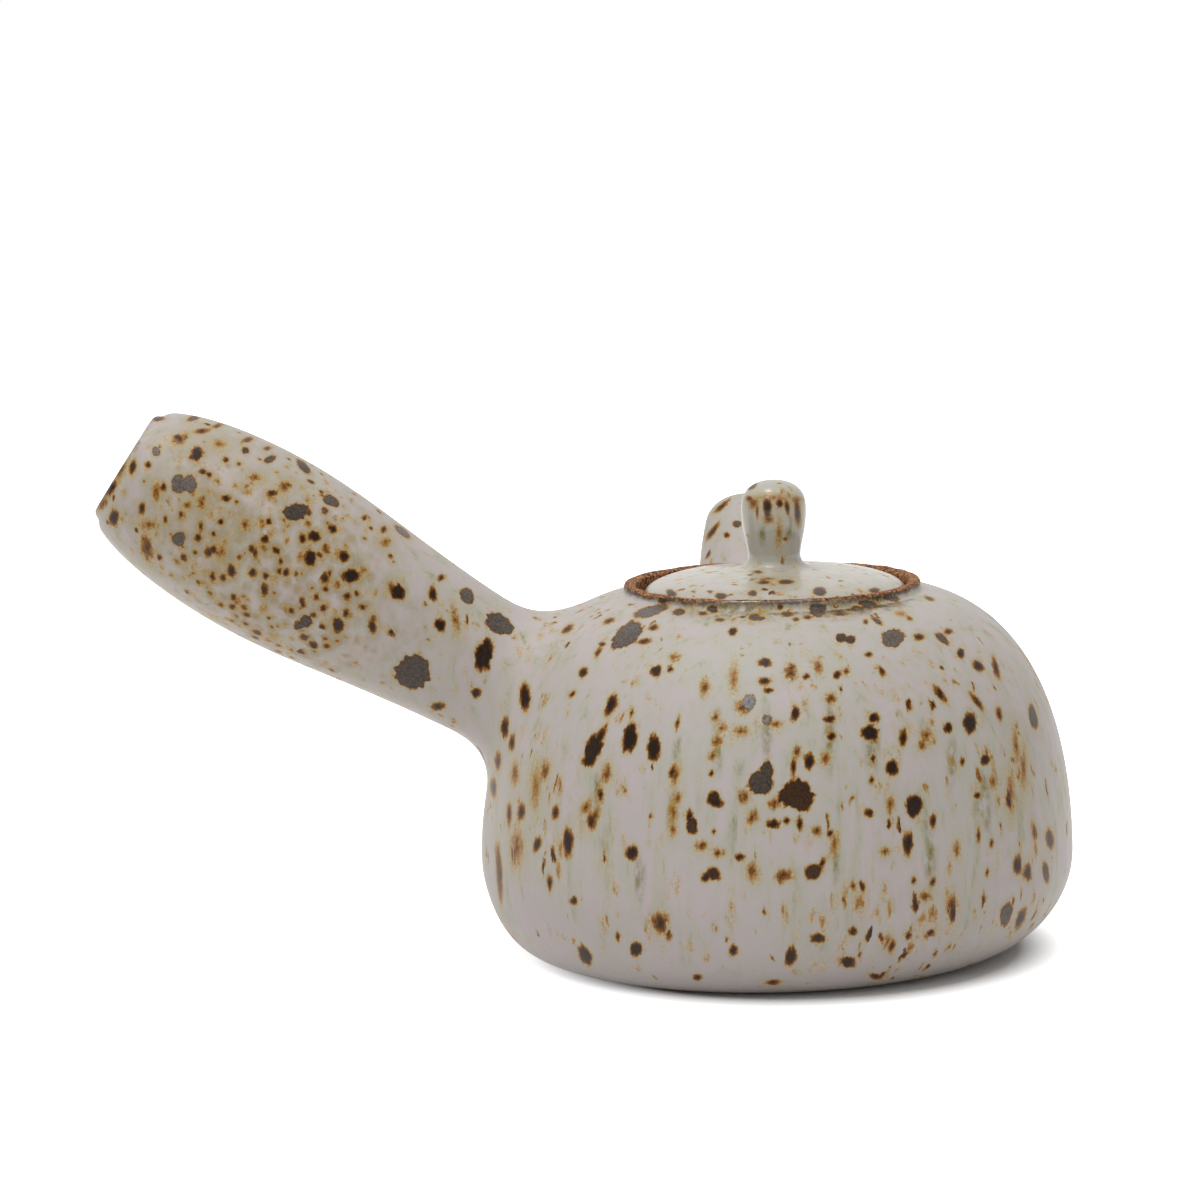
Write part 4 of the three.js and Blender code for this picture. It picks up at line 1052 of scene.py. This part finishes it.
def makeGlaze(name, f):
    made, add, place = startMaterial(name)
    pattern = {key: add("TexNoise", {"Vector": place, "Scale": 1 / size, "Detail": detail,
                                     "Roughness": roughness})
               for key, (size, detail, roughness) in f["patterns"].items()}
    depth, halo = addSpots(add, f, place, pattern)
    ground = addGround(add, f, place, pattern, halo)
    stain, stainColour = addIron(add, pattern, depth)
    glazed = add("Mix", {0: stain.outputs["Alpha"], 6: ground, 7: stainColour}, data_type="RGBA")

    # bare clay where the glaze was wiped off, from the distance that the mesh carries
    bare = add("Attribute", attribute_name="bare").outputs["Fac"]
    edge = add("Math", {0: pattern["wander"], 1: f["wander"], 2: bare}, operation="MULTIPLY_ADD")
    edge = add("Math", {0: edge, 1: f["wander"] / 2}, operation="SUBTRACT")
    isBare = add("MapRange", {"Value": edge, "From Min": -0.12, "From Max": 0.12})
    broken = add("MapRange", {"Value": edge, "From Min": -1.9, "From Max": -0.7, "To Max": 0.95})
    grit, clay = addClay(add, place)
    thin = add("ValToRGB", {"Fac": pattern["thin"]}, stops=rawClay["thinStops"])
    colour = add("Mix", {0: broken, 6: glazed, 7: thin}, data_type="RGBA")
    colour = add("Mix", {0: isBare, 6: colour, 7: clay}, data_type="RGBA")

    # just under the wiped rim, at the front, the glaze melted to a dark glassy roll
    roll = add("MapRange", {"Value": edge, "From Min": -1.3, "From Max": -0.6})
    covered = add("Math", {0: 1.0, 1: isBare}, operation="SUBTRACT")
    roll = add("Math", {0: roll, 1: covered}, operation="MULTIPLY")
    sides = add("SeparateXYZ", {0: place})
    inFront = add("MapRange", {"Value": sides.outputs["Y"], "From Min": f["rollFrom"],
                               "From Max": f["rollTo"]})
    roll = add("Math", {0: roll, 1: inFront}, operation="MULTIPLY")
    gloss = add("MapRange", {"Value": depth, "From Min": -0.4, "From Max": 0.8,
                             "To Min": f["roughness"], "To Max": f["spotRoughness"]})
    gloss = add("Math", {0: pattern["dull"], 1: 0.12, 2: gloss}, operation="MULTIPLY_ADD")
    rough = add("Mix", {0: isBare, 2: gloss, 3: rawClay["roughness"]})

    # relief in mm: slow waves of the thrown wall, the glaze's own skin, and grit where it is bare
    relief = add("Math", {0: pattern["skin"], 1: f["skinRelief"]}, operation="MULTIPLY")
    relief = add("Math", {0: pattern["wave"], 1: f["waveRelief"], 2: relief},
                 operation="MULTIPLY_ADD")
    pits = add("Math", {0: grit, 1: rawClay["pits"], 2: -rawClay["pits"] / 2},
               operation="MULTIPLY_ADD")
    relief = add("Mix", {0: isBare, 2: relief, 3: pits})
    bump = add("Bump", {"Height": relief, "Distance": mm, "Strength": 1.0})
    shader = add("BsdfPrincipled", {"Base Color": colour, "Roughness": rough, "IOR": f["ior"],
                                    "Specular IOR Level": f["specular"],
                                    "Coat Weight": f["coat"] or roll, "Coat Roughness": 0.05,
                                    "Coat IOR": 1.6, "Normal": bump})
    add("OutputMaterial", {"Surface": shader})
    return made


def makeRawClay():
    made, add, place = startMaterial("raw iron clay")
    grit, clay = addClay(add, place)
    dull = add("MapRange", {"Value": grit, "To Min": 0.95, "To Max": 0.75})
    bump = add("Bump", {"Height": grit, "Distance": rawClay["pitDepth"] * mm, "Strength": 1.0})
    shader = add("BsdfPrincipled", {"Base Color": clay, "Roughness": dull, "IOR": 1.5,
                                    "Normal": bump})
    add("OutputMaterial", {"Surface": shader})
    return made


# Matt white paper, a sheet of this reach each way. Seen straight on it glows a little more the
# further it lies from the pot, so that it runs out to plain white. The glow is held back round the
# foot, about a middle set a little off the pot's axis, and that paints a soft shadow round the pot
# on top of its own. Lengths in mm: the glow starts at the foot, is nearly full at near and full at far
floorForm = dict(
    reach=4000.0, albedo=0.88, grainSize=8.8889, grain=0.01, middle=(3.5, -6.5, 0.0), foot=38.5,
    near=47.0, far=64.0, glowNear=0.8,
)


def makeFloorPaper():
    f = floorForm
    made, add, place = startMaterial("white paper floor")
    away = add("VectorMath", {0: place, 1: f["middle"]}, operation="DISTANCE")
    # without a vector the grain runs from 0 to 1 over the whole sheet
    grain = add("TexNoise", {"Scale": 2 * f["reach"] / f["grainSize"], "Detail": 2.0})
    shade = add("MapRange", {"Value": grain, "To Min": f["albedo"] - f["grain"],
                             "To Max": f["albedo"] + f["grain"]})
    paper = add("BsdfDiffuse", {"Color": shade})
    seen = add("LightPath")
    direct = add("Math", {0: seen.outputs["Is Camera Ray"], 1: seen.outputs["Is Glossy Ray"]},
                 operation="MAXIMUM")
    direct = add("Math", {0: direct, 1: seen.outputs["Is Transmission Ray"]}, operation="MAXIMUM")
    # painted shadow: no glow at the foot, rising with the distance from the middle, so the floor
    # darkens round the pot
    outside = add("MapRange", {"Value": away, "From Min": f["near"], "From Max": f["far"],
                               "To Min": f["glowNear"], "To Max": 1.0})
    under = add("MapRange", {"Value": away, "From Min": f["foot"], "From Max": f["near"]})
    strength = add("Math", {0: outside, 1: under}, operation="MULTIPLY")
    strength = add("Math", {0: strength, 1: direct}, operation="MULTIPLY")
    glow = add("Emission", {"Color": (1, 1, 1, 1), "Strength": strength})
    both = add("AddShader", {0: paper, 1: glow})
    add("OutputMaterial", {"Surface": both})
    return made


# Floor, light and camera

# lengths in mm and angles in degrees, fitted to the photograph; pixelsPerMm holds at that distance
viewForm = dict(
    distance=900.0, aim=(-30.4, 0.0, 62.3), pitch=8.66, roll=1.28, pixelsPerMm=5.667, frameWidth=1200,
    sensor=36.0,
)
# places and sizes in metres, powers in watts; the backdrop comes in between two heights of y on a
# ball round the pot
lightForm = dict(
    fill=0.4, backdropFrom=-0.1, backdropTo=0.2, aim=(0, 0, 0.04),
    topPlace=(-0.1, -0.35, 1.2), topSize=(1.5, 1.5), topPower=6.4,
    glintPlace=(-0.24, -0.06, 1.16), glintSize=(0.3, 0.3), glintPower=3.0,
    sparkPlace=(-0.42, -0.76, 1.04), sparkSize=(0.3, 0.3), sparkPower=1.2,
)


def makeCamera():
    f = viewForm
    pitch = math.radians(f["pitch"])
    forward = Vector((0, math.cos(pitch), -math.sin(pitch)))
    data = bpy.data.cameras.new("camera")
    data.sensor_width = f["sensor"]
    data.lens = f["distance"] * f["pixelsPerMm"] / f["frameWidth"] * data.sensor_width
    data.clip_start, data.clip_end = 0.05, 20
    camera = bpy.data.objects.new("camera", data)
    bpy.context.scene.collection.objects.link(camera)
    place = Vector(f["aim"]) - forward * f["distance"]
    roll = Matrix.Rotation(-math.radians(f["roll"]), 3, "Z").to_quaternion()
    turn = forward.to_track_quat("-Z", "Y") @ roll
    camera.matrix_world = Matrix.Translation(place * mm) @ turn.to_matrix().to_4x4()
    bpy.context.scene.camera = camera


def makeFloor():
    data = bpy.data.meshes.new("floor")
    reach = floorForm["reach"] * mm
    data.from_pydata([(-reach, -reach, 0), (reach, -reach, 0), (reach, reach, 0), (-reach, reach, 0)],
                     [], [(0, 1, 2, 3)])
    floor = bpy.data.objects.new("floor", data)
    bpy.context.scene.collection.objects.link(floor)
    return floor


def makeLamp(name, place, aim, size, power):
    data = bpy.data.lights.new(name, "AREA")
    data.shape = "RECTANGLE"
    data.size, data.size_y = size
    data.energy = power
    lamp = bpy.data.objects.new(name, data)
    lamp.location = place
    lamp.rotation_euler = (Vector(aim) - Vector(place)).to_track_quat("-Z", "Y").to_euler()
    bpy.context.scene.collection.objects.link(lamp)


def makeWorld():
    f = lightForm
    world = bpy.data.worlds.new("studio")
    bpy.context.scene.world = world
    world.use_nodes = True
    world.node_tree.nodes.clear()
    add = partial(addNode, world.node_tree)
    seen = add("LightPath")
    mirrored = add("Math", {0: seen.outputs["Is Glossy Ray"],
                            1: seen.outputs["Is Transmission Ray"]}, operation="MAXIMUM")
    # the white backdrop hangs behind the pot, and the room in front of it is dimmer
    towards = add("SeparateXYZ", {0: add("TexCoord").outputs["Generated"]})
    backdrop = add("MapRange", {"Value": towards.outputs["Y"], "From Min": f["backdropFrom"],
                                "From Max": f["backdropTo"]})
    mirrored = add("Math", {0: mirrored, 1: backdrop}, operation="MULTIPLY")
    direct = add("Math", {0: seen.outputs["Is Camera Ray"], 1: mirrored}, operation="MAXIMUM")
    strength = add("MapRange", {"Value": direct, "To Min": f["fill"], "To Max": 1.0})
    sky = add("Background", {"Color": (1, 1, 1, 1), "Strength": strength})
    add("OutputWorld", {"Surface": sky})


bpy.context.scene.view_settings.view_transform = "Standard"
makeCamera()
floor = makeFloor()
floor.data.materials.append(makeFloorPaper())
pot = makePot()
lid = makeLid()
print("pot and lid made; placing what shows most in the glaze")
stampBlots(pot, frontRuns, frontCrowds, handleBlots, leftBlots, rightBlots, spoutBlots)
stampBlots(lid, lidRuns, lidCrowds, lidBlots)
pot.data.materials.append(makeGlaze("pot satin glaze", potGlaze))
lid.data.materials.append(makeGlaze("lid satin glaze", lidGlaze))
rawClayFinish = makeRawClay()
for name in ("strainer", "strainer_joint"):
    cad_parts[name].material_slots[0].material = rawClayFinish
for name in ("top", "glint", "spark"):
    makeLamp(name + " softbox", lightForm[name + "Place"], lightForm["aim"], lightForm[name + "Size"],
             lightForm[name + "Power"])
makeWorld()
